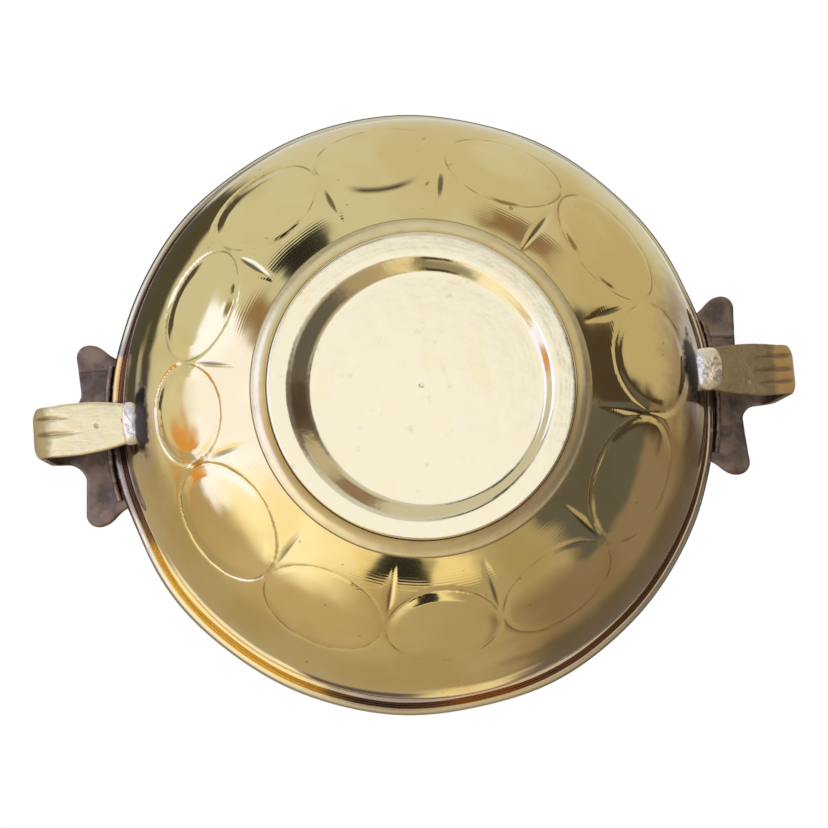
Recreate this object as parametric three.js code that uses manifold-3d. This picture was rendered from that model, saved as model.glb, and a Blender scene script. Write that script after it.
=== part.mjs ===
// A small brass urli: a round bowl with a wide lip on a turned foot, and a
// handle soldered on each side. Each handle is a lobed plate on the rim whose strap
// curls down and back to the wall. Millimetres, +Z up. The origin is on the bowl's
// axis in the plane that the foot stands on, and the handles lie along X.

import * as THREE from 'three';
import { mergeVertices } from 'three/addons/utils/BufferGeometryUtils.js';
import Module from 'manifold-3d';

const wasm = await Module();
wasm.setup();

// Bowl
const rimRadius = 74.6; // outermost edge of the lip
const lipOverhang = 4.4; // from the belly out to that edge
const bellyHeight = 37.7; // height of the widest part of the wall
const wallThickness = 1.6;
const lipThickness = 1.8;
const lipBeadRadius = 1.35; // rolled edge of the lip
const shoulderRadius = 2.4; // round edge of the wall above the belly
const shoulderTurn = THREE.MathUtils.degToRad(65);
const neckRadius = 2.3; // hollow turn under the lip

// Foot
const footRadius = 34.3;
const footHeight = 3;
const footEdgeRadius = 0.8; // rounded outer edge
const crestWidth = 3.7; // flat band that the bowl stands on
const stepWidth = 3.5; // sloping band inside the crest, seen from below
const recessDepth = 1.4; // of the flat disc inside that band
const footSolderReach = 3.9; // width of the solder fillet round the foot
const footSolderLow = 0.9; // height where that fillet starts on the foot

// Handles
const plateThickness = 2;
const plateLap = 3; // how far the plate lies over the lip
const plateOverhang = 7.4; // how far the plate's straight side stands out from the rim
const plateHalfLength = 22.5;
const plateWaist = 0.8; // how far that side dips in between the two lobes
const lobeRadius = 3.1;
const lobeFullness = 0.55; // place of the bend between lobe and rim, from rim to lobe
const lobeShoulder = 18; // half width of the plate at its inner edge
const strapThickness = 2;
const strapChamfer = 0.4;
const strapRootWidth = 13;
const strapBendWidth = 11.8;
const strapTipWidth = 8.6;
const strapSwell = 0.5; // how much wider each side of the lower leg swells midway
const loopReach = 15.6; // from the rim out to the far side of the curl
const loopDrop = 24.5; // from the plate's top down to the underside of the strap
const loopTopRadius = 6; // outside radius of the curl's upper turn
const loopLowRadius = 4; // outside radius of its lower turn

// What the two hand-made handles don't share: the half width where the strap flares
// out of the plate, the strap's sideways leans, its tip's distance from the wall and
// how far the solder covers the strap
const handles = [
  {
    side: 'left',
    turn: Math.PI,
    neck: 11.8,
    rootLean: -0.2,
    bendLean: -1.05,
    tipLean: -0.4,
    tipStandoff: 0.1,
    solderReach: 2.6,
  },
  {
    side: 'right',
    turn: 0,
    neck: 10.2,
    rootLean: -0.7,
    bendLean: -0.05,
    tipLean: -1.6,
    tipStandoff: 0.4,
    solderReach: 4,
  },
];

// Solder
const rimSolderHalfLength = 17;
const rimSolderReach = 2;
const rimSolderDrop = 1.6;
const wallSolderHalfLength = 5.6;
const wallSolderHalfHeight = 3;
const wallSolderSink = 2.2; // how far its ball shape reaches into the wall before the cut

// Clearances
const gap = 0.3; // between a piece and the curved face that it is soldered to

// Fineness of the round shapes
const roundSegments = 72;
const wallSteps = 9;
const turnSteps = 3;
const curlSteps = 6;
const legSteps = 9;

// Sizes that follow from the ones above
const bellyRadius = rimRadius - lipOverhang;
const crestOuterRadius = footRadius - footEdgeRadius;
const crestInnerRadius = crestOuterRadius - crestWidth;
const discRadius = crestInnerRadius - stepWidth;
const floorRadius = crestInnerRadius; // flat bottom of the bowl
const shoulderCentre = new THREE.Vector2(bellyRadius - shoulderRadius, bellyHeight);
const neckCentre = new THREE.Vector2(
  shoulderCentre.x + (shoulderRadius + neckRadius) * Math.cos(shoulderTurn),
  shoulderCentre.y + (shoulderRadius + neckRadius) * Math.sin(shoulderTurn),
);
const lipTop = neckCentre.y + neckRadius + lipThickness;
const beadCentre = new THREE.Vector2(rimRadius - lipBeadRadius, lipTop - lipBeadRadius);
const plateBottom = lipTop + gap;
const plateTop = plateBottom + plateThickness;

// Points of an arc in the plane of a profile, from one angle to another.
function arcPoints(centre, radius, fromAngle, toAngle, steps) {
  const points = [];
  for (let i = 0; i <= steps; i += 1) {
    const share = i / steps;
    const angle = THREE.MathUtils.lerp(fromAngle, toAngle, share);
    const r = typeof radius === 'function' ? radius(share) : radius;
    points.push(new THREE.Vector2(centre.x + r * Math.cos(angle), centre.y + r * Math.sin(angle)));
  }
  return points;
}

// Quarter of an ellipse from the flat bottom up to the belly, moved inward by an inset.
function wallPoints(inset) {
  const across = bellyRadius - floorRadius - inset;
  const down = bellyHeight - footHeight - inset;
  const points = [];
  for (let i = 0; i <= wallSteps; i += 1) {
    const angle = (Math.PI / 2) * (1 - i / wallSteps);
    points.push(
      new THREE.Vector2(
        floorRadius + across * Math.cos(angle),
        bellyHeight - down * Math.sin(angle),
      ),
    );
  }
  return points;
}

// Radius of the wall's outside at a height below the belly.
function wallRadiusAt(height) {
  const down = (bellyHeight - height) / (bellyHeight - footHeight);
  return floorRadius + (bellyRadius - floorRadius) * Math.sqrt(1 - down * down);
}

// Height of the wall's outside at a radius beyond the flat bottom.
function wallHeightAt(radius) {
  const across = (radius - floorRadius) / (bellyRadius - floorRadius);
  return bellyHeight - (bellyHeight - footHeight) * Math.sqrt(1 - across * across);
}

// Leaves out points that repeat the one before them.
function withoutRepeats(points) {
  const nearest = 0.001;
  return points.filter((p, i) => i === 0 || p.distanceTo(points[i - 1]) > nearest);
}

// Turns a profile of radius and height round the Z axis.
function turned(points) {
  const geometry = new THREE.LatheGeometry(withoutRepeats(points), roundSegments);
  return geometry.rotateX(Math.PI / 2);
}

function closed(points) {
  return [...points, points[0].clone()];
}

// A closed mesh as a solid for joins and cuts.
function solidOf(geometry) {
  const bare = geometry.clone();
  bare.deleteAttribute('normal');
  bare.deleteAttribute('uv');
  const merged = mergeVertices(bare, 1e-4);
  return new wasm.Manifold(
    new wasm.Mesh({
      numProp: 3,
      vertProperties: Float32Array.from(merged.attributes.position.array),
      triVerts: Uint32Array.from(merged.index.array),
    }),
  );
}

function geometryOf(solid) {
  const mesh = solid.getMesh();
  const geometry = new THREE.BufferGeometry();
  geometry.setAttribute('position', new THREE.BufferAttribute(Float32Array.from(mesh.vertProperties), 3));
  geometry.setIndex(new THREE.BufferAttribute(Uint32Array.from(mesh.triVerts), 1));
  geometry.computeVertexNormals();
  return geometry;
}

// The outside of the bowl above the belly: shoulder, neck and the lip's rolled edge.
function lipOutline() {
  const shoulder = arcPoints(shoulderCentre, shoulderRadius, 0, shoulderTurn, turnSteps);
  const neck = arcPoints(neckCentre, neckRadius, shoulderTurn + Math.PI, Math.PI / 2, turnSteps + 1);
  const underside = neckCentre.y + neckRadius;
  const beadStart = -Math.PI - Math.asin((underside - beadCentre.y) / lipBeadRadius);
  const bead = arcPoints(beadCentre, lipBeadRadius, beadStart, Math.PI / 2, 2 * turnSteps);
  return [...shoulder, ...neck, ...bead];
}

// The inside from the lip down to the belly, one wall's thickness away.
function mouthOutline() {
  const neck = arcPoints(
    neckCentre,
    (share) => neckRadius + THREE.MathUtils.lerp(lipThickness, wallThickness, share),
    Math.PI / 2,
    shoulderTurn + Math.PI,
    turnSteps + 1,
  );
  const shoulder = arcPoints(shoulderCentre, shoulderRadius - wallThickness, shoulderTurn, 0, turnSteps);
  return [...neck, ...shoulder];
}

function bowlGeometry() {
  return turned([
    new THREE.Vector2(0, footHeight),
    ...wallPoints(0),
    ...lipOutline(),
    ...mouthOutline(),
    ...wallPoints(wallThickness).reverse(),
    new THREE.Vector2(0, footHeight + wallThickness),
  ]);
}

function footGeometry() {
  const edgeCentre = new THREE.Vector2(crestOuterRadius, footEdgeRadius);
  return turned([
    new THREE.Vector2(0, recessDepth),
    new THREE.Vector2(discRadius, recessDepth),
    new THREE.Vector2(crestInnerRadius, 0),
    ...arcPoints(edgeCentre, footEdgeRadius, -Math.PI / 2, 0, turnSteps),
    new THREE.Vector2(footRadius, footHeight),
    new THREE.Vector2(0, footHeight),
  ]);
}

// A hollow fillet between the foot's side and the wall above it.
function footSolderGeometry() {
  const inner = footRadius + gap;
  const outer = footRadius + footSolderReach;
  const foot = new THREE.Vector2(inner, footSolderLow);
  const tip = new THREE.Vector2(outer, wallHeightAt(outer) - gap);
  const hollow = new THREE.QuadraticBezierCurve(foot, new THREE.Vector2(inner + gap, tip.y - gap), tip);
  const under = [];
  for (let i = 1; i < turnSteps; i += 1) {
    const radius = THREE.MathUtils.lerp(outer, inner, i / turnSteps);
    under.push(new THREE.Vector2(radius, wallHeightAt(radius) - gap));
  }
  const top = new THREE.Vector2(inner, wallHeightAt(inner) - gap);
  return turned(closed([...hollow.getPoints(turnSteps), ...under, top]));
}

// Outline of a handle's plate, seen from above, with X outward from the bowl.
function plateOutline() {
  const innerRadius = rimRadius - plateLap;
  const side = rimRadius + plateOverhang;
  const lobeX = side - lobeRadius;
  const lobeY = plateHalfLength - lobeRadius;
  const shoulderAngle = Math.asin(lobeShoulder / innerRadius);
  const shoulderX = innerRadius * Math.cos(shoulderAngle);
  const bendX = THREE.MathUtils.lerp(shoulderX, lobeX, lobeFullness);
  const outline = new THREE.Shape();
  outline.absarc(0, 0, innerRadius, shoulderAngle, -shoulderAngle, true);
  outline.bezierCurveTo(bendX, -lobeShoulder, bendX, -plateHalfLength, lobeX, -plateHalfLength);
  outline.absarc(lobeX, -lobeY, lobeRadius, -Math.PI / 2, 0, false);
  outline.quadraticCurveTo(side - 2 * plateWaist, 0, side, lobeY);
  outline.absarc(lobeX, lobeY, lobeRadius, 0, Math.PI / 2, false);
  outline.bezierCurveTo(bendX, plateHalfLength, bendX, lobeShoulder, shoulderX, lobeShoulder);
  return outline;
}

function plateGeometry() {
  const geometry = new THREE.ExtrudeGeometry(plateOutline(), {
    depth: plateThickness,
    bevelEnabled: false,
    curveSegments: 2 * curlSteps,
  });
  return geometry.translate(0, 0, plateBottom);
}

// Stations along a strap's middle line: place, outward direction, half width and
// sideways lean. They run from inside the plate, out, round the curl and back in.
function strapStations(handle, tipPlace) {
  const half = strapThickness / 2;
  const topZ = plateBottom + half;
  const lowZ = plateTop - loopDrop + half;
  const side = rimRadius + plateOverhang - plateWaist;
  const farX = rimRadius + loopReach - half;
  const rootHalf = strapRootWidth / 2;
  const bendHalf = strapBendWidth / 2;
  const flare = handle.neck - rootHalf;
  const stations = [];
  const add = (x, z, angle, halfWidth, lean) => {
    stations.push({ x, z, out: new THREE.Vector2(Math.cos(angle), Math.sin(angle)), halfWidth, lean });
  };
  const up = Math.PI / 2;
  add(side - flare / 2, topZ, up, handle.neck, handle.rootLean);
  for (let i = 0; i <= curlSteps; i += 1) {
    const angle = up * (i / curlSteps);
    const x = side + flare * (1 - Math.cos(angle));
    add(x, topZ, up, rootHalf + flare * (1 - Math.sin(angle)), handle.rootLean);
  }
  // The strap narrows and shifts from its root to its bend along the upper turn only.
  const turns = [
    { centreZ: topZ - loopTopRadius + half, radius: loopTopRadius - half, from: up, settled: 0 },
    { centreZ: lowZ + loopLowRadius - half, radius: loopLowRadius - half, from: 0, settled: 1 },
  ];
  for (const turn of turns) {
    for (let i = 0; i <= curlSteps; i += 1) {
      const share = Math.max(turn.settled, i / curlSteps);
      const angle = turn.from - up * (i / curlSteps);
      const x = farX - turn.radius + turn.radius * Math.cos(angle);
      const z = turn.centreZ + turn.radius * Math.sin(angle);
      const halfWidth = THREE.MathUtils.lerp(rootHalf, bendHalf, share);
      add(x, z, angle, halfWidth, THREE.MathUtils.lerp(handle.rootLean, handle.bendLean, share));
    }
  }
  const legX = farX - loopLowRadius + half;
  for (let i = 1; i <= legSteps; i += 1) {
    const share = i / legSteps;
    const x = THREE.MathUtils.lerp(legX, tipPlace, share);
    const taper = THREE.MathUtils.lerp(strapBendWidth, strapTipWidth, share * share) / 2;
    const halfWidth = taper + strapSwell * Math.sin(Math.PI * share);
    add(x, lowZ, -up, halfWidth, THREE.MathUtils.lerp(handle.bendLean, handle.tipLean, share));
  }
  return stations;
}

// Joins rings of eight points, a rectangle with chamfered corners at each station.
function strapGeometry(stations, grow) {
  const half = strapThickness / 2 + grow;
  const cut = strapChamfer;
  const positions = [];
  for (const { x, z, out, halfWidth, lean } of stations) {
    const wide = halfWidth + grow;
    const corners = [
      [wide - cut, half],
      [wide, half - cut],
      [wide, cut - half],
      [wide - cut, -half],
      [cut - wide, -half],
      [-wide, cut - half],
      [-wide, half - cut],
      [cut - wide, half],
    ];
    for (const [across, away] of corners) {
      positions.push(x + out.x * away, lean + across, z + out.y * away);
    }
  }
  const ring = 8;
  const index = [];
  for (let s = 0; s < stations.length - 1; s += 1) {
    for (let k = 0; k < ring; k += 1) {
      const a = s * ring + k;
      const b = s * ring + ((k + 1) % ring);
      index.push(a, a + ring, b, b, a + ring, b + ring);
    }
  }
  const last = (stations.length - 1) * ring;
  for (let k = 1; k < ring - 1; k += 1) {
    index.push(0, k, k + 1);
    index.push(last, last + k + 1, last + k);
  }
  const geometry = new THREE.BufferGeometry();
  geometry.setAttribute('position', new THREE.Float32BufferAttribute(positions, 3));
  geometry.setIndex(index);
  return geometry;
}

// Place of a strap's tip, just clear of the wall at the strap's underside.
function tipPlaceOf(handle) {
  return wallRadiusAt(plateTop - loopDrop) + gap + handle.tipStandoff;
}

// The space that the wall takes up below the belly, with the gap around it.
function wallSolid() {
  return solidOf(
    turned([
      new THREE.Vector2(0, footHeight - gap),
      ...wallPoints(-gap),
      new THREE.Vector2(0, bellyHeight),
    ]),
  );
}

function handleSolid(handle) {
  const strap = solidOf(strapGeometry(strapStations(handle, tipPlaceOf(handle)), 0));
  return solidOf(plateGeometry()).add(strap).subtract(wallSolid());
}

// Solder between the lip's edge and the underside of the plate.
function rimSolderSolid() {
  const inner = rimRadius + gap;
  const outer = rimRadius + rimSolderReach;
  const low = new THREE.Vector2(inner, plateBottom - rimSolderDrop);
  const tip = new THREE.Vector2(outer, plateBottom);
  const hollow = new THREE.QuadraticBezierCurve(low, new THREE.Vector2(inner + gap, plateBottom - gap), tip);
  const corner = new THREE.Vector2(inner, plateBottom);
  const ring = solidOf(turned(closed([...hollow.getPoints(turnSteps), corner])));
  const stretch = new THREE.BoxGeometry(2 * rimSolderReach + rimRadius, 2 * rimSolderHalfLength, plateTop);
  stretch.translate(rimRadius, 0, plateTop);
  return ring.intersect(solidOf(stretch));
}

// Solder that wraps a strap's tip and fills the space up to the wall.
function wallSolderSolid(handle) {
  const lowZ = plateTop - loopDrop + strapThickness / 2;
  const blob = new THREE.SphereGeometry(1, 3 * curlSteps, 2 * curlSteps);
  blob.scale(handle.solderReach, wallSolderHalfLength, wallSolderHalfHeight);
  blob.translate(wallRadiusAt(lowZ) + handle.solderReach - wallSolderSink, handle.tipLean, lowZ);
  const strap = strapGeometry(strapStations(handle, tipPlaceOf(handle) - gap), gap);
  return solidOf(blob).subtract(wallSolid()).subtract(solidOf(strap));
}

const polishedBrass = { color: 0xc9b26a, roughness: 0.2, metalness: 1 };
const castBrass = { color: 0xb79a5a, roughness: 0.4, metalness: 1 };
const solder = { color: 0xb8b6ae, roughness: 0.45, metalness: 1 };

function mesh(name, geometry, finish) {
  const piece = new THREE.Mesh(geometry, new THREE.MeshStandardMaterial(finish));
  piece.name = name;
  return piece;
}

const group = new THREE.Group();
group.add(mesh('bowl', bowlGeometry(), polishedBrass));
group.add(mesh('foot', footGeometry(), polishedBrass));
group.add(mesh('foot_solder', footSolderGeometry(), solder));
for (const handle of handles) {
  const ear = new THREE.Group();
  ear.rotation.z = handle.turn;
  ear.add(mesh(`handle_${handle.side}`, geometryOf(handleSolid(handle)), castBrass));
  ear.add(mesh(`rim_solder_${handle.side}`, geometryOf(rimSolderSolid()), solder));
  ear.add(mesh(`wall_solder_${handle.side}`, geometryOf(wallSolderSolid(handle)), solder));
  group.add(ear);
}

export default group;
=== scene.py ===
"""Looks of a small brass urli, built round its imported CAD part.

The urli stands on its foot with +Z up, and the camera looks up at it from below, as in
the photograph. Sizes in the classes are in millimetres, and Blender's are in metres.
"""

from __future__ import annotations

import logging
import math
from collections.abc import Iterable
from dataclasses import dataclass, field
from enum import Enum

import bmesh
import bpy
import numpy as np
from bpy.types import Material, Mesh, Node, NodeSocket, NodeTree, Object
from mathutils import Matrix, Vector

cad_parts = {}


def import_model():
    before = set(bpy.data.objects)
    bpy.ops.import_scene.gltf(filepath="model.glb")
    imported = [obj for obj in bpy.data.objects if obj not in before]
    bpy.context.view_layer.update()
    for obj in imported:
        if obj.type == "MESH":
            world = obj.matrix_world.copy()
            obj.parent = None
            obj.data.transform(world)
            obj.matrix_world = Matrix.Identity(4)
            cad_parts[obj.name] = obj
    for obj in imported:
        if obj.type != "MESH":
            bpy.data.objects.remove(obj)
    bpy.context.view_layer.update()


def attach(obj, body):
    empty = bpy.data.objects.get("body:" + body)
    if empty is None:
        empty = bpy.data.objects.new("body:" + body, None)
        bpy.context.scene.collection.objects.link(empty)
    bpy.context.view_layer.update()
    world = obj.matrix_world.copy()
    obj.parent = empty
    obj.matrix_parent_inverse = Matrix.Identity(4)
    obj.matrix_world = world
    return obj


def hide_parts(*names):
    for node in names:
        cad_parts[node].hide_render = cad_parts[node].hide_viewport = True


LOG = logging.getLogger("urli")
MM = 0.001
DOUBLE = 0.001 * MM
ROUNDING = 0.0001  # lifts a whole quotient that falls just short
DEGREES = 180 / math.pi
BODY = "root"
Colour = tuple[float, float, float]
Place = tuple[float, float]
Span = tuple[float, float]


class Slot(Enum):
    """The record's material slots."""

    BOWL = "bowl_brass"
    FOOT = "foot_brass"
    COVE = "brazing"
    HANDLE = "handle_brass"
    SOLDER = "solder"


class Side(Enum):
    """The two sides that carry a handle, and how far each is turned round the bowl."""

    LEFT = 180.0
    RIGHT = 0.0

    @property
    def label(self) -> str:
        """The side's name as the CAD nodes write it."""
        return self.name.lower()


# Numbers and colours in node trees


@dataclass(frozen=True)
class Number:
    """A number that a node tree works out, with sums written as Python writes them."""

    tree: NodeTree
    source: NodeSocket | float

    def apply(self, operation: str, *others: Number | float) -> Number:
        """Adds one Math node.

        Args:
            operation: Blender's name of the operation.
            *others: The node's second and third input.

        Returns:
            The node's result.
        """
        node = self.tree.nodes.new("ShaderNodeMath")
        node.operation = operation
        for slot, value in zip(node.inputs, (self, *others), strict=False):
            feed(self.tree, slot, value)
        return Number(self.tree, node.outputs[0])

    def __add__(self, other: Number | float) -> Number:
        """The sum."""
        return self.apply("ADD", other)

    def __sub__(self, other: Number | float) -> Number:
        """The difference."""
        return self.apply("SUBTRACT", other)

    def __rsub__(self, other: float) -> Number:
        """A plain number less this one."""
        return Number(self.tree, other).apply("SUBTRACT", self)

    def __mul__(self, other: Number | float) -> Number:
        """The product."""
        return self.apply("MULTIPLY", other)

    def __truediv__(self, other: Number | float) -> Number:
        """The quotient."""
        return self.apply("DIVIDE", other)

    def __pow__(self, other: float) -> Number:
        """The power."""
        return self.apply("POWER", other)

    def __abs__(self) -> Number:
        """The number without its sign."""
        return self.apply("ABSOLUTE")

    def root(self) -> Number:
        """The square root."""
        return self.apply("SQRT")

    def most(self, other: Number | float) -> Number:
        """The larger of two numbers."""
        return self.apply("MAXIMUM", other)

    def clamp(self) -> Number:
        """The number held between 0 and 1."""
        return self.most(0.0).apply("MINIMUM", 1.0)

    def spread(self, *others: Number) -> Number:
        """The distance that this and other numbers give at right angles to one another.

        Args:
            *others: The other numbers.

        Returns:
            The distance.
        """
        total = self * self
        for other in others:
            total = total + other * other
        return total.root()

    def between(self, low: float, high: float, soft: float, soft_high: float | None = None) -> Number:
        """Fades in from a low place and out to a high place.

        Args:
            low: Where the share leaves 0.
            high: Where it is back at 0.
            soft: Width of the low edge.
            soft_high: Width of the high edge, the same by default.

        Returns:
            The share.
        """
        return self.fade(low, low + soft) * self.fade(high, high - (soft_high or soft))

    def fade(self, start: Number | float, end: Number | float) -> Number:
        """Runs smoothly from 0 at start to 1 at end, and stays there.

        Args:
            start: Where the result is 0.
            end: Where the result is 1. It may be below start.

        Returns:
            The share between them.
        """
        node = self.tree.nodes.new("ShaderNodeMapRange")
        node.interpolation_type = "SMOOTHSTEP"
        for slot, value in zip(node.inputs, (self, start, end), strict=False):
            feed(self.tree, slot, value)
        return Number(self.tree, node.outputs[0])

    def near(self, place: Number | float, reach: float) -> Number:
        """A smooth bump: 1 at a place and 0 from a reach away on either side.

        Args:
            place: Where the bump is highest.
            reach: How far it spreads each way.

        Returns:
            The bump's height.
        """
        return abs(self - place).fade(reach, 0.0)


def feed(tree: NodeTree, slot: NodeSocket, value: object) -> None:
    """Gives a node's input a plain value or another node's result.

    Args:
        tree: The tree that holds both.
        slot: The input.
        value: A Number, a socket, or what the input holds by itself.
    """
    if isinstance(value, Number):
        value = value.source
    if isinstance(value, NodeSocket):
        tree.links.new(value, slot)
    else:
        slot.default_value = value


class Graph:
    """What is often put in a node tree."""

    tree: NodeTree

    def node(self, kind: str, settings: dict[str, object] | None = None, **inputs: object) -> Node:
        """Adds a node.

        Args:
            kind: The node's type.
            settings: Its options, by Blender's name.
            **inputs: Its inputs, by label with spaces as underscores.

        Returns:
            The node.
        """
        node = self.tree.nodes.new(kind)
        for key, value in (settings or {}).items():
            setattr(node, key, value)
        for key, value in inputs.items():
            feed(self.tree, node.inputs[key.replace("_", " ")], value)
        return node

    def given(self, node: Node, output: str | int = 0) -> Number:
        """The number that a node gives."""
        return Number(self.tree, node.outputs[output])

    def split(self, vector: NodeSocket) -> tuple[Number, Number, Number]:
        """The three numbers of a vector."""
        node = self.node("ShaderNodeSeparateXYZ", Vector=vector)
        return tuple(self.given(node, i) for i in range(3))

    def join(self, *parts: Number | float) -> NodeSocket:
        """The vector of three numbers."""
        return self.node("ShaderNodeCombineXYZ", **dict(zip("XYZ", parts, strict=True))).outputs[0]

    def stretch(self, vector: NodeSocket, factor: Number) -> NodeSocket:
        """A vector made some times as long."""
        node = self.node("ShaderNodeVectorMath", {"operation": "SCALE"}, Vector=vector, Scale=factor)
        return node.outputs[0]

    def clouds(self, at: NodeSocket, scale: float, detail: float) -> Node:
        """Cloudy noise, read at a place, with some clouds in a unit of length and finer detail in them."""
        return self.node("ShaderNodeTexNoise", Vector=at, Scale=scale, Detail=detail)

    def blend(self, share: Number, first: object, second: object) -> NodeSocket:
        """Mixes two colours.

        Args:
            share: How much of the second colour shows.
            first: A colour or another mix.
            second: A colour or another mix.

        Returns:
            The mixed colour.
        """
        node = self.node("ShaderNodeMix", {"data_type": "RGBA"})
        slots = [s for s in node.inputs if s.enabled]
        for slot, value in zip(slots, (share, first, second), strict=True):
            feed(self.tree, slot, (*value, 1.0) if isinstance(value, tuple) else value)
        return next(s for s in node.outputs if s.enabled)

    def layer(self, colour: object, *layers: tuple[Number, object]) -> NodeSocket:
        """Lays colours over a first one.

        Args:
            colour: The first colour.
            *layers: Each the share of the surface that it covers and its colour.

        Returns:
            The mixed colour.
        """
        for share, cover in layers:
            colour = self.blend(share, colour, cover)
        return colour


@dataclass
class Painter(Graph):
    """Builds the nodes of one material."""

    name: str
    tree: NodeTree = field(init=False)
    material: Material = field(init=False)
    shader: Node = field(init=False)

    def __post_init__(self) -> None:
        """Makes the material with its one shader."""
        self.material = bpy.data.materials.new(self.name)
        self.material.use_nodes = True
        self.tree = self.material.node_tree
        self.shader = self.tree.nodes["Principled BSDF"]

    def place(self) -> tuple[Number, Number, Number]:
        """The surface point's three coordinates in millimetres."""
        return tuple(part / MM for part in self.split(self.node("ShaderNodeTexCoord").outputs["Object"]))

    def facing(self) -> tuple[Number, Number, Number]:
        """How far the surface faces along each axis, from -1 to 1."""
        return self.split(self.node("ShaderNodeNewGeometry").outputs["Normal"])

    def attribute(self, name: str) -> Number:
        """A number that the mesh keeps at its points."""
        return self.given(self.node("ShaderNodeAttribute", {"attribute_name": name}), "Fac")

    def noise(self, grain: float, detail: float = 2.0, at: tuple[object, ...] | None = None) -> Number:
        """Cloudy noise from 0 to 1, around 0.5.

        Args:
            grain: Size of the clouds in millimetres.
            detail: How much finer structure they hold.
            at: Where to read it, as three numbers in millimetres. The surface point by default.

        Returns:
            The noise.
        """
        return self.given(self.clouds(self.join(*(at or self.place())), 1 / grain, detail), "Fac")

    def shake(self, grain: float, detail: float, reach: float) -> Number:
        """Noise round 0 that is half a reach high at most."""
        return (self.noise(grain, detail) - 0.5) * reach

    def relief(self, *layers: tuple[Number, float]) -> None:
        """Raises the surface in the shader only.

        Args:
            *layers: Each a height pattern and how many millimetres it is high.
        """
        normal = None
        for height, rise in layers:
            node = self.node("ShaderNodeBump", Distance=rise * MM, Height=height)
            if normal is not None:
                self.tree.links.new(normal, node.inputs["Normal"])
            normal = node.outputs[0]
        self.tree.links.new(normal, self.shader.inputs["Normal"])

    def coat_metal(self, colour: object, roughness: Number | float) -> Material:
        """Finishes the shader as bare metal.

        Args:
            colour: The metal's colour.
            roughness: Its roughness.

        Returns:
            The material.
        """
        if not self.shader.inputs["Metallic"].is_linked:
            self.shader.inputs["Metallic"].default_value = 1.0
        feed(self.tree, self.shader.inputs["Base Color"], colour)
        feed(self.tree, self.shader.inputs["Roughness"], roughness)
        return self.material


# Finishes


@dataclass(frozen=True)
class WallSpot:
    """The point of the bowl's surface that a pattern is worked out for."""

    paint: Painter
    marks: WallMarks
    x: Number
    y: Number
    z: Number
    radius: Number
    bearing: Number
    along: Number
    outside: Number

    @classmethod
    def of(cls, paint: Painter, marks: WallMarks) -> WallSpot:
        """Reads the surface point.

        Args:
            paint: The bowl's material.
            marks: Where the parts of the profile lie along it.

        Returns:
            The point.
        """
        x, y, z = paint.place()
        along = paint.attribute("along")
        outside = along.fade(marks.belly + 0.4, marks.belly)
        return cls(paint, marks, x, y, z, x.spread(y), y.apply("ARCTAN2", x), along, outside)


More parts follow.
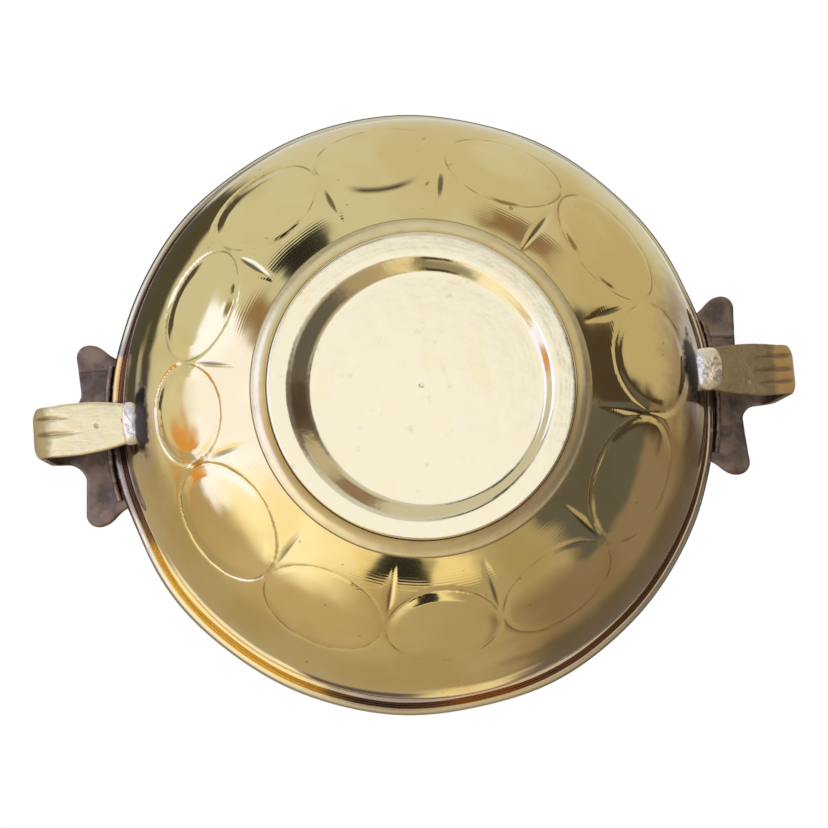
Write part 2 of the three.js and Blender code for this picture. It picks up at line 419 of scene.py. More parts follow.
@dataclass(frozen=True)
class PolishedWall:
    """Spun and hand-cut brass: polished wall, tinted neck, a painted highlight on the lip's bead and painted
    shade along the lip's edge, plain inside.
    """

    bright: Colour = (0.90, 0.77, 0.40)
    warm: Colour = (0.85, 0.69, 0.32)
    tint_gold: Colour = (0.97, 0.79, 0.38)
    tint_orange: Colour = (0.93, 0.64, 0.26)
    tint_red: Colour = (0.62, 0.42, 0.27)
    tint_brown: Colour = (0.52, 0.40, 0.31)
    tint_dark: Colour = (0.36, 0.29, 0.26)
    tint_grey: Colour = (0.76, 0.74, 0.60)
    copper: Colour = (0.90, 0.56, 0.25)
    # outline: colour of the painted shade along the lip's outer edge
    outline: Colour = (0.04, 0.04, 0.03)
    scorch: Colour = (0.36, 0.24, 0.17)
    # pale: colour of the painted highlight on the lip's bead
    pale: Colour = (0.86, 0.81, 0.62)
    grime: Colour = (0.11, 0.07, 0.035)
    smear: Colour = (0.74, 0.70, 0.66)
    burn: Colour = (0.045, 0.04, 0.048)
    ridge_pitch: float = 0.62
    ridge_rise: float = 0.0026
    ridge_inner: Span = (39.0, 43.0)
    ridge_outer: Span = (48.0, 44.0)
    cloud_size: float = 17.0
    cloud_warms: Span = (0.4, 0.62)
    plate_zone: Span = (68.0, 71.0)
    # where the painted highlight lies on the lip's bead, and how strong it is
    bead_run: Span = (1.6, 0.6)
    bead_soft: Span = (0.3, 0.6)
    bead_share: float = 0.85
    edge_soft: float = 0.4
    # where the painted shade along the lip's outer edge lies, and how it fades towards high y
    line_run: Span = (-1.45, 0.9)
    line_soft: Span = (0.45, 0.4)
    line_fades: Span = (45.0, 5.0)
    line_least: float = 0.4
    smear_across: Span = (62.0, 70.0)
    smear_patches: Span = (0.5, 0.66)
    smear_size: float = 4.0
    smear_share: float = 0.7
    tint_start: Span = (0.2, 0.8)
    tint_end: Span = (1.95, 1.6)
    tint_size: float = 6.0
    tint_sway: float = 16.0
    streak_pace: Span = (3.4, 1.6)
    tint_streaks: Span = (0.54, 0.68)
    tint_share: float = 0.94
    gold_run: Span = (104.0, 167.0)
    gold_soft: Span = (15.0, 17.0)
    red_run: Span = (66.0, 97.0)
    red_soft: Span = (12.0, 7.0)
    dark_run: Span = (84.0, 121.0)
    dark_soft: float = 15.0
    dark_past_left: Span = (148.0, 165.0)
    dark_past_right: Span = (-110.0, -118.0)
    brown_from: Span = (-24.0, -14.0)
    spill_run: Span = (-19.0, -7.4)
    spill_soft: Span = (1.0, 0.8)
    spill_start: Span = (0.5, 0.9)
    spill_size: float = 4.0
    spill_sway: float = 2.0
    speck_size: float = 2.4
    speck_patches: Span = (0.70, 0.78)
    speck_share: float = 0.5
    leaf_near: Span = (0.3, 0.65)
    leaf_far: Span = (0.3, 0.8)
    leaf_near_from: Span = (0.0, -25.0)
    leaf_near_share: float = 0.84
    leaf_far_share: float = 0.8
    score_reach: float = 0.03
    score_size: float = 6.0
    score_patches: Span = (0.42, 0.62)
    score_share: float = 0.55
    arc_start: Span = (-106.0, -101.0)
    arc_end: Span = (-85.0, -92.0)
    arc_outer: Span = (52.0, 50.0)
    arc_reach: float = 0.13
    arc_share: float = 0.97
    burn_length: float = 0.44
    burn_core: Span = (4.3, 2.5)
    burn_halo: Span = (6.6, 4.4)
    burn_haze: Span = (15.0, 4.0)
    burn_size: float = 2.5
    burn_sway: float = 4.0
    haze_size: float = 6.0
    haze_sway: float = 8.0
    halo_share: float = 0.45
    polish: float = 0.03
    scratch_wear: float = 0.06
    cloud_wear: float = 0.05
    burn_wear: float = 0.3
    smear_wear: float = 0.3
    tint_wear: float = 0.1
    bead_wear: float = 0.16
    wave_size: float = 11.0
    wave_inside: float = 0.3
    wave_rise: float = 0.16
    cut_reach: float = 0.035
    cut_rise: float = -0.018
    fine_pace: Span = (0.9, 4.0)
    fine_rise: float = 0.08
    scratch_pace: Span = (6.0, 9.0)
    scratch_rise: float = 0.003

    def dress(self, marks: WallMarks, burns: Iterable[Burn]) -> Material:
        """Builds the bowl's material.

        Args:
            marks: Where the parts of the profile lie along it.
            burns: The places that the torch has burnt.

        Returns:
            The material.
        """
        paint = Painter("polished_wall")
        spot = WallSpot.of(paint, marks)
        across, along = abs(spot.x), spot.along
        clouds = paint.noise(self.cloud_size)
        tint, tinted = self._tint(spot)
        # painted highlight: a pale band on the lip's bead, left out next to the plates
        bead = along.between(marks.bead + self.bead_run[0], marks.rim + self.bead_run[1], *self.bead_soft)
        bead = bead * across.fade(*self.plate_zone[::-1])
        # painted shade: a dark line along the lip's outer edge, full where y is low and 0.4 of it where y is
        # high
        line = along.between(marks.edge + self.line_run[0], marks.edge + self.line_run[1], *self.line_soft)
        colour = paint.layer(
            paint.blend(clouds.fade(*self.cloud_warms), self.bright, self.warm),
            (tinted, tint),
            (bead * self.bead_share, self.pale),
            (self._spill(spot), self.copper),
            (self._dirt(spot), self.grime),
            (line * (spot.y.fade(*self.line_fades) * (1 - self.line_least) + self.line_least), self.outline),
        )
        colour, burnt = self._scorch(spot, burns, colour)
        lip = along.between(marks.bead + 1.0, marks.edge, 1.0, 0.8)
        patches = paint.noise(self.smear_size, 4.0).fade(*self.smear_patches)
        smeared = lip * across.fade(*self.smear_across) * patches
        out, round_it = self.scratch_pace
        scratches = paint.noise(1.0, 2.0, (spot.radius * out, spot.z * out, spot.bearing * round_it))
        worn = scratches * self.scratch_wear + clouds * self.cloud_wear
        worn = worn + burnt * self.burn_wear + smeared * self.smear_wear
        self._raise(spot, tinted, scratches)
        colour = paint.blend(smeared * self.smear_share, colour, self.smear)
        worn = worn + tinted * self.tint_wear + bead * self.bead_wear + self.polish
        return paint.coat_metal(colour, worn)

    def _tint(self, spot: WallSpot) -> tuple[NodeSocket, Number]:
        """Colours under the lip, set by bearing: gold, red and brown in turn.

        Args:
            spot: The surface point.

        Returns:
            The colour and how much of it shows.
        """
        paint, along, marks = spot.paint, spot.along, spot.marks
        turn = spot.bearing * DEGREES + paint.shake(self.tint_size, 3.0, self.tint_sway)
        out, round_it = self.streak_pace
        streak = paint.noise(1.0, 3.0, (along * out, spot.bearing * round_it, 0.0)).fade(*self.tint_streaks)
        gold = paint.blend(streak, self.tint_gold, self.tint_orange)
        red = paint.blend(streak, self.tint_red, self.tint_orange)
        dark = turn.between(*self.dark_run, self.dark_soft).most(turn.fade(*self.dark_past_left))
        tint = paint.layer(
            paint.blend(turn.fade(*self.brown_from), self.tint_grey, self.tint_brown),
            (turn.between(*self.red_run, *self.red_soft), red),
            (dark.most(turn.fade(*self.dark_past_right)), self.tint_dark),
            (turn.between(*self.gold_run, *self.gold_soft), gold),
        )
        end = along.fade(*(marks.bead + past for past in self.tint_end))
        by_plate = along.fade(marks.edge + self.edge_soft, marks.edge) * abs(spot.x).fade(*self.plate_zone)
        band = along.fade(*(marks.belly + past for past in self.tint_start)) * end.most(by_plate)
        return tint, band * self.tint_share

    def _spill(self, spot: WallSpot) -> Number:
        """How much of the lip's left edge is coppered by spilt brazing.

        Args:
            spot: The surface point.

        Returns:
            The share.
        """
        marks, along = spot.marks, spot.along
        ahead = spot.y + spot.paint.shake(self.spill_size, 3.0, self.spill_sway)
        spilt = ahead.between(*self.spill_run, *self.spill_soft) * spot.x.fade(0.0, -1.0)
        spilt = spilt * along.fade(*(marks.bead + past for past in self.spill_start))
        return spilt * along.fade(marks.edge + self.edge_soft, marks.edge)

    def _dirt(self, spot: WallSpot) -> Number:
        """How much grime lies in specks, in the leaves and on the ovals' lines.

        Args:
            spot: The surface point.

        Returns:
            The share.
        """
        paint = spot.paint
        specks = paint.noise(self.speck_size, 3.0).fade(*self.speck_patches) * self.speck_share
        groove, reach = paint.attribute("groove"), paint.attribute("oval_reach")
        deep = groove.fade(*self.leaf_near) * spot.y.fade(*self.leaf_near_from) * self.leaf_near_share
        deep = deep.most(groove.fade(*self.leaf_far) * self.leaf_far_share)
        patches = paint.noise(self.score_size).fade(*self.score_patches)
        scored = reach.near(1.0, self.score_reach) * spot.outside * patches * self.score_share
        turn = spot.bearing * DEGREES
        arc = reach.near(1.0, self.arc_reach) * turn.fade(*self.arc_start) * turn.fade(*self.arc_end)
        arc = arc * spot.radius.fade(*self.arc_outer) * spot.outside * self.arc_share
        return specks.most(deep).most(scored).most(arc)

    def _scorch(self, spot: WallSpot, burns: Iterable[Burn], colour: NodeSocket) -> tuple[NodeSocket, Number]:
        """Browns and blackens the wall where the torch has burnt it.

        Args:
            spot: The surface point.
            burns: The burnt places.
            colour: The wall's colour so far.

        Returns:
            The new colour and how burnt the wall is.
        """
        paint, burnt = spot.paint, None
        for burn in burns:
            aside, ahead, above = spot.x - burn.spot.x, spot.y - burn.spot.y, spot.z - burn.spot.z
            near = aside.spread(ahead * self.burn_length, above)
            near = near + paint.shake(self.burn_size, 3.0, self.burn_sway)
            share = near.fade(*self.burn_core) * spot.outside
            halo = (near.fade(*self.burn_halo) * spot.outside - share) * self.halo_share
            far = near + paint.shake(self.haze_size, 3.0, self.haze_sway)
            haze = far.fade(*self.burn_haze) * burn.haze
            colour = paint.layer(colour, (haze, self.scorch), (halo, self.smear), (share, self.burn))
            burnt = share if burnt is None else burnt.most(share)
        return colour, burnt

    def _raise(self, spot: WallSpot, tinted: Number, scratches: Number) -> None:
        """Gives the wall its hammered waves, comb marks, cut lines and fine streaks.

        Args:
            spot: The surface point.
            tinted: Where the heat colours lie.
            scratches: The polisher's scratches.
        """
        paint, radius, outside = spot.paint, spot.radius, spot.outside
        waves = paint.noise(self.wave_size, 1.0) * (outside * (1 - self.wave_inside) + self.wave_inside)
        ridges = (radius * (math.tau / self.ridge_pitch)).apply("SINE") * radius.fade(*self.ridge_outer)
        ridges = ridges * radius.fade(*self.ridge_inner) * outside
        edge = paint.attribute("oval_reach").near(1.0, self.cut_reach) * outside
        out, round_it = self.fine_pace
        streaks = paint.noise(1.0, 1.0, (spot.along * out, spot.bearing * round_it, 0.0)) * tinted
        paint.relief(
            (waves, self.wave_rise),
            (ridges, self.ridge_rise),
            (edge, self.cut_rise),
            (streaks, self.fine_rise),
            (scratches, self.scratch_rise),
        )


@dataclass(frozen=True)
class TurnedFoot:
    """Bright brass with the fine rings that the turning tool has left."""

    bright: Colour = (0.92, 0.855, 0.66)
    step: Colour = (0.88, 0.76, 0.46)
    warm: Colour = (0.93, 0.82, 0.55)
    stain: Colour = (0.66, 0.58, 0.38)
    smudge: Colour = (0.30, 0.30, 0.21)
    smudge_from: float = -92.0
    smudge_to: float = -52.0
    smudge_soft: float = 9.0
    smudge_share: float = 0.75
    flat: float = 1.39
    warm_patches: Span = (0.5, 0.75)
    spot_patches: Span = (0.64, 0.80)
    ring_rise: float = 0.005
    drag_rise: float = 0.035
    dimple_rise: float = -0.04
    ring_pitch: float = 0.55
    dimple: Span = (0.9, 0.2)
    warm_size: float = 9.0
    warm_share: float = 0.6
    spot_size: float = 3.6
    spot_share: float = 0.55
    dimple_share: float = 0.3
    smudge_size: float = 4.0
    smudge_sway: float = 24.0
    smudge_low: Span = (0.2, 0.7)
    smudge_high: float = 1.2
    step_low: float = 0.05
    step_soft: Span = (0.3, 0.14)
    drag_pace: float = 0.35
    polish: float = 0.06
    ring_wear: float = 0.06
    drag_wear: float = 0.08

    def dress(self) -> Material:
        """Builds the foot's material."""
        paint = Painter("turned_foot")
        x, y, z = paint.place()
        radius = x.spread(y)
        spots = paint.noise(self.spot_size, 4.0).fade(*self.spot_patches)
        centre = radius.fade(*self.dimple)
        turn = y.apply("ARCTAN2", x) * DEGREES + paint.shake(self.smudge_size, 3.0, self.smudge_sway)
        smudged = turn.between(self.smudge_from, self.smudge_to, self.smudge_soft)
        smudged = smudged * z.fade(*self.smudge_low) * z.fade(self.flat, self.smudge_high)
        warm = paint.noise(self.warm_size, 3.0).fade(*self.warm_patches) * self.warm_share
        stained = spots * self.spot_share + centre * self.dimple_share
        colour = paint.layer(
            paint.blend(warm, self.bright, self.warm),
            (z.between(self.step_low, self.flat, *self.step_soft), self.step),
            (stained.apply("MINIMUM", 1.0), self.stain),
            (smudged * self.smudge_share, self.smudge),
        )
        rings = paint.noise(1.0, 3.0, (radius * (1 / self.ring_pitch), z * 0.5, 0.0))
        drag = paint.noise(1.0, 2.0, (x * self.drag_pace, y * self.drag_pace, z))
        paint.relief((rings, self.ring_rise), (drag, self.drag_rise), (centre, self.dimple_rise))
        return paint.coat_metal(colour, rings * self.ring_wear + drag * self.drag_wear + self.polish)


@dataclass(frozen=True)
class BrazedCove:
    """The brazing round the foot, scraped and polished into a hollow."""

    bright: Colour = (0.90, 0.79, 0.48)
    dull: Colour = (0.68, 0.52, 0.26)
    dull_radii: Span = (36.8, 38.2)
    dull_patches: Span = (0.45, 0.7)
    patch_size: float = 5.0
    ring_pace: float = 2.4
    lump_rise: float = 0.12
    ring_rise: float = 0.01
    polish: float = 0.22
    patch_wear: float = 0.16

    def dress(self) -> Material:
        """Builds the fillet's material."""
        paint = Painter("brazed_cove")
        x, y, z = paint.place()
        radius = x.spread(y)
        patches = paint.noise(self.patch_size, 3.0)
        dulled = radius.fade(*self.dull_radii) * 0.5 + patches.fade(*self.dull_patches) * 0.3
        rings = paint.noise(1.0, 2.0, (radius * self.ring_pace, z * self.ring_pace, 0.0))
        paint.relief((patches, self.lump_rise), (rings, self.ring_rise))
        worn = patches * self.patch_wear + self.polish
        return paint.coat_metal(paint.blend(dulled, self.bright, self.dull), worn)


@dataclass(frozen=True)
class HandleWear:
    """How one handle has been finished and knocked, in the bowl's frame.

    Attributes:
        strap: Colour that the file has left on the strap.
        crease: Where a cast crease crosses the plate, as its y.
        ridge: How high the crease stands out, or below 0 how deep it is. A raised crease gets a painted
            highlight and a sunk one painted shade.
        pit: A small pit in the strap.
        gilt: Colour of the bend.
        gilt_from: Where the bend's colour begins, as its distance across from the axis.
        streaks: How much the file's strokes show in the strap's colour.
    """

    strap: Colour
    crease: float
    ridge: float
    pit: Span
    gilt: Colour
    gilt_from: float
    streaks: float


@dataclass(frozen=True)
class CastHandle:
    """Cast brass: dark under the plate with patches of painted sheen, filed bright on the strap, golden round
    the bend.
    """

    top: Colour = (0.90, 0.78, 0.45)
    tarnish: Colour = (0.15, 0.115, 0.10)
    tarnish_warm: Colour = (0.32, 0.235, 0.18)
    # sheen: colour of the painted highlight patches on the plate
    sheen: Colour = (0.36, 0.31, 0.31)
    hollow: Colour = (0.19, 0.11, 0.05)
    pitted: Colour = (0.42, 0.34, 0.20)
    warm_patches: Span = (0.38, 0.66)
    sheen_patches: Span = (0.52, 0.74)
    cloud_size: float = 5.5
    patch_size: float = 2.2
    grain_size: float = 0.55
    crease_reach: float = 1.1
    crease_sway: float = 1.6
    crease_from: Span = (-1.0, -0.2)
    # how strong the painted highlight or shade along the crease is
    crease_share: float = 0.6
    filed_from: Span = (-1.5, -7.0)
    filed_facing: Span = (0.1, 0.6)
    filed_share: float = 0.95
    stroke_pace: Span = (0.35, 3.2)
    top_facing: Span = (0.3, 0.8)
    top_from: float = 1.5
    top_share: float = 0.8
    bend_sway: float = 2.2
    bend_soft: float = 1.0
    bend_share: float = 0.85
    bend_dulls: float = 0.75
    flute_cut: Span = (0.1, 0.9)
    flute_share: float = 0.5
    flute_gilt: float = 0.35
    pit_share: float = 0.7
    pit_squares: Span = (0.5, 0.1)
    rough: float = 0.42
    filed_smooths: float = 0.14
    grain_wear: float = 0.12
    bend_wear: float = 0.12
    cast_rise: float = 0.25
    stroke_rise: float = 0.035
    grain_rise: float = 0.02
    pit_rise: float = -0.05

    def dress(self, name: str, plate_bottom: float, wear: HandleWear) -> Material:
        """Builds one handle's material.

        Args:
            name: The material's name.
            plate_bottom: Height of the plate's underside.
            wear: The handle's own marks.

        Returns:
            The material.
        """
        paint = Painter(name)
        x, y, z = paint.place()
        outwards, _, upwards = paint.facing()
        clouds, patches = paint.noise(self.cloud_size, 4.0), paint.noise(self.patch_size, 4.0)
        grain = paint.noise(self.grain_size, 3.0)
        crease = (y + (clouds - 0.5) * self.crease_sway).near(wear.crease, self.crease_reach)
        crease = crease * z.fade(*(plate_bottom + past for past in self.crease_from))
        dark = paint.layer(
            paint.blend(clouds.fade(*self.warm_patches), self.tarnish, self.tarnish_warm),
            # painted highlight: lilac patches of sheen on the dark plate
            (patches.fade(*self.sheen_patches) * 0.5, self.sheen),
            # painted highlight along a raised crease, painted shade along a sunk one
            (crease * self.crease_share, self.sheen if wear.ridge > 0 else self.tarnish),
        )
        outer = (outwards * x.apply("SIGN")).most(upwards * -1.0)
        filed = z.fade(*(plate_bottom + past for past in self.filed_from))
        shown = filed * outer.fade(*self.filed_facing)
        top = upwards.fade(*self.top_facing) * z.fade(plate_bottom, plate_bottom + self.top_from)
        out, across = self.stroke_pace
        strokes = paint.noise(1.0, 3.0, (x * out, y * across, z * across))
        uneven = (clouds - 0.5) * 0.5 + (strokes - 0.5) * wear.streaks
        worn = (shown * self.filed_share + uneven * shown).fade(0.0, 1.0)
        bend = abs(x) + (patches - 0.5) * self.bend_sway
        bend = bend.fade(wear.gilt_from - self.bend_soft, wear.gilt_from + self.bend_soft) * shown
        flute = paint.attribute("flute").fade(*self.flute_cut)
        aside, ahead = x - wear.pit[0], y - wear.pit[1]
        pit = (aside * aside + ahead * ahead).fade(*self.pit_squares) * shown
        colour = paint.layer(
            paint.blend(worn, dark, wear.strap),
            (top * self.top_share, self.top),
            (bend * self.bend_share, wear.gilt),
            (flute * (bend * self.flute_gilt + self.flute_share), self.hollow),
            (pit * self.pit_share, self.pitted),
        )
        paint.relief(
            (clouds, self.cast_rise),
            (strokes * shown, self.stroke_rise),
            (grain, self.grain_rise),
            (crease, self.cast_rise * wear.ridge),
            (pit, self.pit_rise),
        )
        feed(paint.tree, paint.shader.inputs["Metallic"], 1.0 - bend * self.bend_dulls)
        rough = self.rough - shown * self.filed_smooths
        return paint.coat_metal(colour, rough + grain * self.grain_wear + bend * self.bend_wear)


@dataclass(frozen=True)
class TinSolder:
    """Rough silver-white solder, with cream brass showing towards the strap and burnt pits."""

    bright: Colour = (0.96, 0.94, 0.91)
    cream: Colour = (0.95, 0.85, 0.62)
    burnt: Colour = (0.18, 0.15, 0.16)
    lump_size: float = 1.3
    stain_size: float = 2.0
    grain_size: float = 0.35
    brass_sway: float = 3.0
    brass_soft: float = 0.6
    brass_share: float = 0.9
    burnt_share: float = 0.85
    polish: float = 0.26
    lump_wear: float = 0.2
    burnt_patches: Span = (0.40, 0.30)
    lump_rise: float = 0.14
    grain_rise: float = 0.03

    def dress(self, name: str, strap_starts: float) -> Material:
        """Builds the solder's material.

        Args:
            name: The material's name.
            strap_starts: Distance from the bowl's axis plane at which the brass shows through.

        Returns:
            The material.
        """
        paint = Painter(name)
        lumps, stains = paint.noise(self.lump_size, 4.0), paint.noise(self.stain_size, 4.0)
        brass = abs(paint.place()[0]) + (stains - 0.5) * self.brass_sway
        brass = brass.fade(strap_starts - self.brass_soft, strap_starts + self.brass_soft) * self.brass_share
        burnt = stains.fade(*self.burnt_patches) * self.burnt_share
        colour = paint.layer(self.bright, (brass, self.cream), (burnt, self.burnt))
        paint.relief((lumps, self.lump_rise), (paint.noise(self.grain_size, 2.0), self.grain_rise))
        return paint.coat_metal(colour, lumps * self.lump_wear + self.polish)


@dataclass(frozen=True)
class RimBraze:
    """Browned brazing under a plate."""

    browned: Colour = (0.24, 0.17, 0.14)
    warm: Colour = (0.36, 0.26, 0.20)
    warm_patches: Span = (0.4, 0.6)
    warm_size: float = 2.8
    lump_size: float = 1.3
    grain_size: float = 0.35
    lump_rise: float = 0.3
    grain_rise: float = 0.05
    polish: float = 0.25
    lump_wear: float = 0.25

    def dress(self, name: str) -> Material:
        """Builds the seam's material.

        Args:
            name: The material's name.

        Returns:
            The material.
        """
        paint = Painter(name)
        warmth = paint.noise(self.warm_size, 3.0).fade(*self.warm_patches)
        lumps = paint.noise(self.lump_size, 4.0)
        paint.relief((lumps, self.lump_rise), (paint.noise(self.grain_size, 2.0), self.grain_rise))
        colour = paint.blend(warmth, self.browned, self.warm)
        return paint.coat_metal(colour, lumps * self.lump_wear + self.polish)


# Meshes


def adopt(mesh: Mesh, name: str, slot: Slot, *nodes: str) -> Object:
    """Puts a finished mesh in the scene in the place of CAD nodes.

    Args:
        mesh: The mesh, in metres.
        name: The piece's name.
        slot: The material slot that it belongs to; not used.
        *nodes: The CAD nodes that it stands for.

    Returns:
        The piece.
    """
    piece = bpy.data.objects.new(name, mesh)
    bpy.context.scene.collection.objects.link(piece)
    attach(piece, BODY)
    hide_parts(*nodes)
    LOG.info("%s: %d faces", name, len(mesh.polygons))
    return piece


def settle(thing: Object) -> Mesh:
    """Puts an object in the scene and works out its modifiers.

    Args:
        thing: The object.

    Returns:
        The plain mesh that they give.
    """
    bpy.context.scene.collection.objects.link(thing)
    graph = bpy.context.evaluated_depsgraph_get()
    return bpy.data.meshes.new_from_object(thing.evaluated_get(graph), depsgraph=graph)


def tidy(mesh: Mesh) -> None:
    """Merges doubles and turns every face of a closed mesh outwards.

    Args:
        mesh: The mesh.
    """
    shape = bmesh.new()
    shape.from_mesh(mesh)
    bmesh.ops.remove_doubles(shape, verts=shape.verts, dist=DOUBLE)
    bmesh.ops.recalc_face_normals(shape, faces=shape.faces)
    shape.to_mesh(mesh)
    shape.free()
    mesh.polygons.foreach_set("use_smooth", np.ones(len(mesh.polygons), bool))


def read_places(mesh: Mesh, kind: str = "co") -> np.ndarray:
    """Reads a mesh's points.

    Args:
        mesh: The mesh.
        kind: "co" for the places, in metres, or "normal" for what they face.

    Returns:
        A row for each point.
    """
    rows = np.empty(len(mesh.vertices) * 3, np.float32)
    mesh.vertices.foreach_get(kind, rows)
    return rows.reshape(-1, 3)


def write_places(mesh: Mesh, places: np.ndarray) -> None:
    """Moves a mesh's points.

    Args:
        mesh: The mesh.
        places: A row for each point, in metres.
    """
    mesh.vertices.foreach_set("co", places.astype(np.float32).ravel())
    mesh.update()


def write_fact(mesh: Mesh, name: str, values: np.ndarray) -> None:
    """Keeps a number at each of a mesh's points.

    Args:
        mesh: The mesh.
        name: The number's name.
        values: One for each point.
    """
    layer = mesh.attributes.new(name, "FLOAT", "POINT")
    layer.data.foreach_set("value", np.asarray(values, np.float32))


def circle(bearing: np.ndarray, radius: float, height: float = 0.0) -> np.ndarray:
    """Places on a level circle round the Z axis.

    Args:
        bearing: Their bearings in radians.
        radius: The circle's radius.
        height: The circle's height.

    Returns:
        A row for each place.
    """
    heights = np.full_like(bearing, height)
    return np.column_stack([np.cos(bearing) * radius, np.sin(bearing) * radius, heights])


def loose_line(name: str, points: np.ndarray, **facts: np.ndarray) -> Object:
    """Makes a line of points that a node tree reads.

    Args:
        name: The object's name.
        points: The points, in millimetres.
        **facts: Numbers that each point carries, by name.

    Returns:
        The object, which isn't in the scene.
    """
    mesh = bpy.data.meshes.new(name)
    steps = [(i, i + 1) for i in range(len(points) - 1)]
    mesh.from_pydata((points * MM).tolist(), steps, [])
    for key, values in facts.items():
        write_fact(mesh, key, values)
    return bpy.data.objects.new(name, mesh)


@dataclass
class Loom(Graph):
    """Builds a geometry node tree with named inputs."""

    name: str
    tree: NodeTree = field(init=False)
    inlet: Node = field(init=False)
    values: dict[str, object] = field(default_factory=dict)

    def __post_init__(self) -> None:
        """Makes the tree with its geometry input and output."""
        self.tree = bpy.data.node_groups.new(self.name, "GeometryNodeTree")
        self.tree.is_modifier = True
        sockets = self.tree.interface
        sockets.new_socket("Geometry", in_out="INPUT", socket_type="NodeSocketGeometry")
        sockets.new_socket("Geometry", in_out="OUTPUT", socket_type="NodeSocketGeometry")
        self.inlet = self.node("NodeGroupInput")

    def size(self, name: str, value: object, kind: str = "NodeSocketFloat") -> NodeSocket:
        """Adds a named input.

        Args:
            name: Its name.
            value: What it holds when the tree runs.
            kind: Its type, by Blender's name.

        Returns:
            Its socket.
        """
        item = self.tree.interface.new_socket(name, in_out="INPUT", socket_type=kind)
        self.values[item.identifier] = value
        return self.inlet.outputs[name]

    def number(self, name: str, value: float) -> Number:
        """Adds a named input that holds a number."""
        return Number(self.tree, self.size(name, value))

    def step(self, kind: str, settings: dict[str, object] | None = None, **inputs: object) -> Node:
        """Adds a geometry node, as node() does, by its type without the first word."""
        return self.node("GeometryNode" + kind, settings, **inputs)

    def read(self, geometry: NodeSocket, name: str, index: Number) -> Number:
        """Reads one point's number from another geometry.

        Args:
            geometry: The geometry.
            name: The number's name.
            index: Which point.

        Returns:
            The number.
        """
        fact = self.step("InputNamedAttribute", {"data_type": "FLOAT"}, Name=name)
        settings = {"data_type": "FLOAT", "domain": "POINT"}
        found = self.step("SampleIndex", settings, Geometry=geometry, Index=index)
        self.tree.links.new(fact.outputs["Attribute"], found.inputs["Value"])
        return self.given(found, "Value")

    def keep(self, geometry: NodeSocket, **facts: Number) -> NodeSocket:
        """Stores numbers at each point.

        Args:
            geometry: The geometry.
            **facts: The numbers, by name.

        Returns:
            The geometry that holds them.
        """
        settings = {"data_type": "FLOAT", "domain": "POINT"}
        for name, value in facts.items():
            node = self.step("StoreNamedAttribute", settings, Geometry=geometry, Name=name, Value=value)
            geometry = node.outputs[0]
        return geometry

    def close(self, geometry: NodeSocket, material: Material) -> None:
        """Ends the tree: merged, smooth, real and dressed.

        Args:
            geometry: What the tree has made.
            material: Its material.
        """
        merged = self.step("MergeByDistance", Geometry=geometry, Distance=2 * DOUBLE).outputs[0]
        smooth = self.step("SetShadeSmooth", Geometry=merged).outputs[0]
        real = self.step("RealizeInstances", Geometry=smooth).outputs[0]
        dress = self.size("Material", material, "NodeSocketMaterial")
        dressed = self.step("SetMaterial", Geometry=real, Material=dress)
        self.tree.links.new(dressed.outputs[0], self.node("NodeGroupOutput").inputs[0])

    def weave(self, base: Object) -> Mesh:
        """Runs the tree on an object.

        Args:
            base: The object whose geometry goes in.

        Returns:
            The finished plain mesh.
        """
        modifier = base.modifiers.new(self.name, "NODES")
        modifier.node_group = self.tree
        for key, value in self.values.items():
            modifier[key] = value
        mesh = settle(base)
        mesh.name = base.name
        bpy.data.objects.remove(base)
        tidy(mesh)
        return mesh


class Lathe(Loom):
    """Turns a profile round the Z axis, one column for each point of a ring."""

    def turn(self, columns: Object) -> LatheFace:
        """Adds the grid of rows and columns and finds each point's place.

        Args:
            columns: A ring with a point for each column.

        Returns:
            What the later steps need of it.
        """
        profile = self.inlet.outputs["Geometry"]
        columns = self.size("Ring", columns, "NodeSocketObject")
        ring = self.step("ObjectInfo", Object=columns).outputs["Geometry"]
        rows = self._count(profile)
        grid = self.step("MeshGrid", Vertices_X=self._count(ring), Vertices_Y=rows).outputs["Mesh"]
        index = self.given(self.step("InputIndex"))
        column = (index / rows + ROUNDING).apply("FLOOR")
        row = index - column * rows
        bearing = self.read(ring, "bearing", column)
        across, up = bearing.apply("COSINE"), bearing.apply("SINE")
        facts = ("radius", "height", "loose", "lean", "rise", "along")
        radius, height, loose, lean, rise, along = (self.read(profile, fact, row) for fact in facts)
        radius = radius - self.read(ring, "sway", column) * loose
        place = self.join(radius * across * MM, radius * up * MM, height * MM)
        outward = self.join(lean * across, lean * up, rise)
        return LatheFace(grid, ring, column, radius, along, place, outward)

    def _count(self, geometry: NodeSocket) -> Number:
        """How many points a line has."""
        node = self.step("AttributeDomainSize", {"component": "MESH"}, Geometry=geometry)
        return self.given(node, "Point Count")

    def shape(self, face: LatheFace, sink: Number | None = None) -> NodeSocket:
        """Moves the grid's points to their places.

        Args:
            face: What turn() gave.
            sink: How far each point is cut in, in millimetres.

        Returns:
            The shaped geometry.
        """
        settled = self.step("SetPosition", Geometry=face.grid, Position=face.place)
        if sink is None:
            return settled.outputs[0]
        step = self.stretch(face.outward, sink * -MM)
        return self.step("SetPosition", Geometry=settled.outputs[0], Offset=step).outputs[0]


@dataclass(frozen=True)
class LatheFace:
    """Sockets and numbers of a turned face."""

    grid: NodeSocket
    ring: NodeSocket
    column: Number
    radius: Number
    along: Number
    place: NodeSocket
    outward: NodeSocket


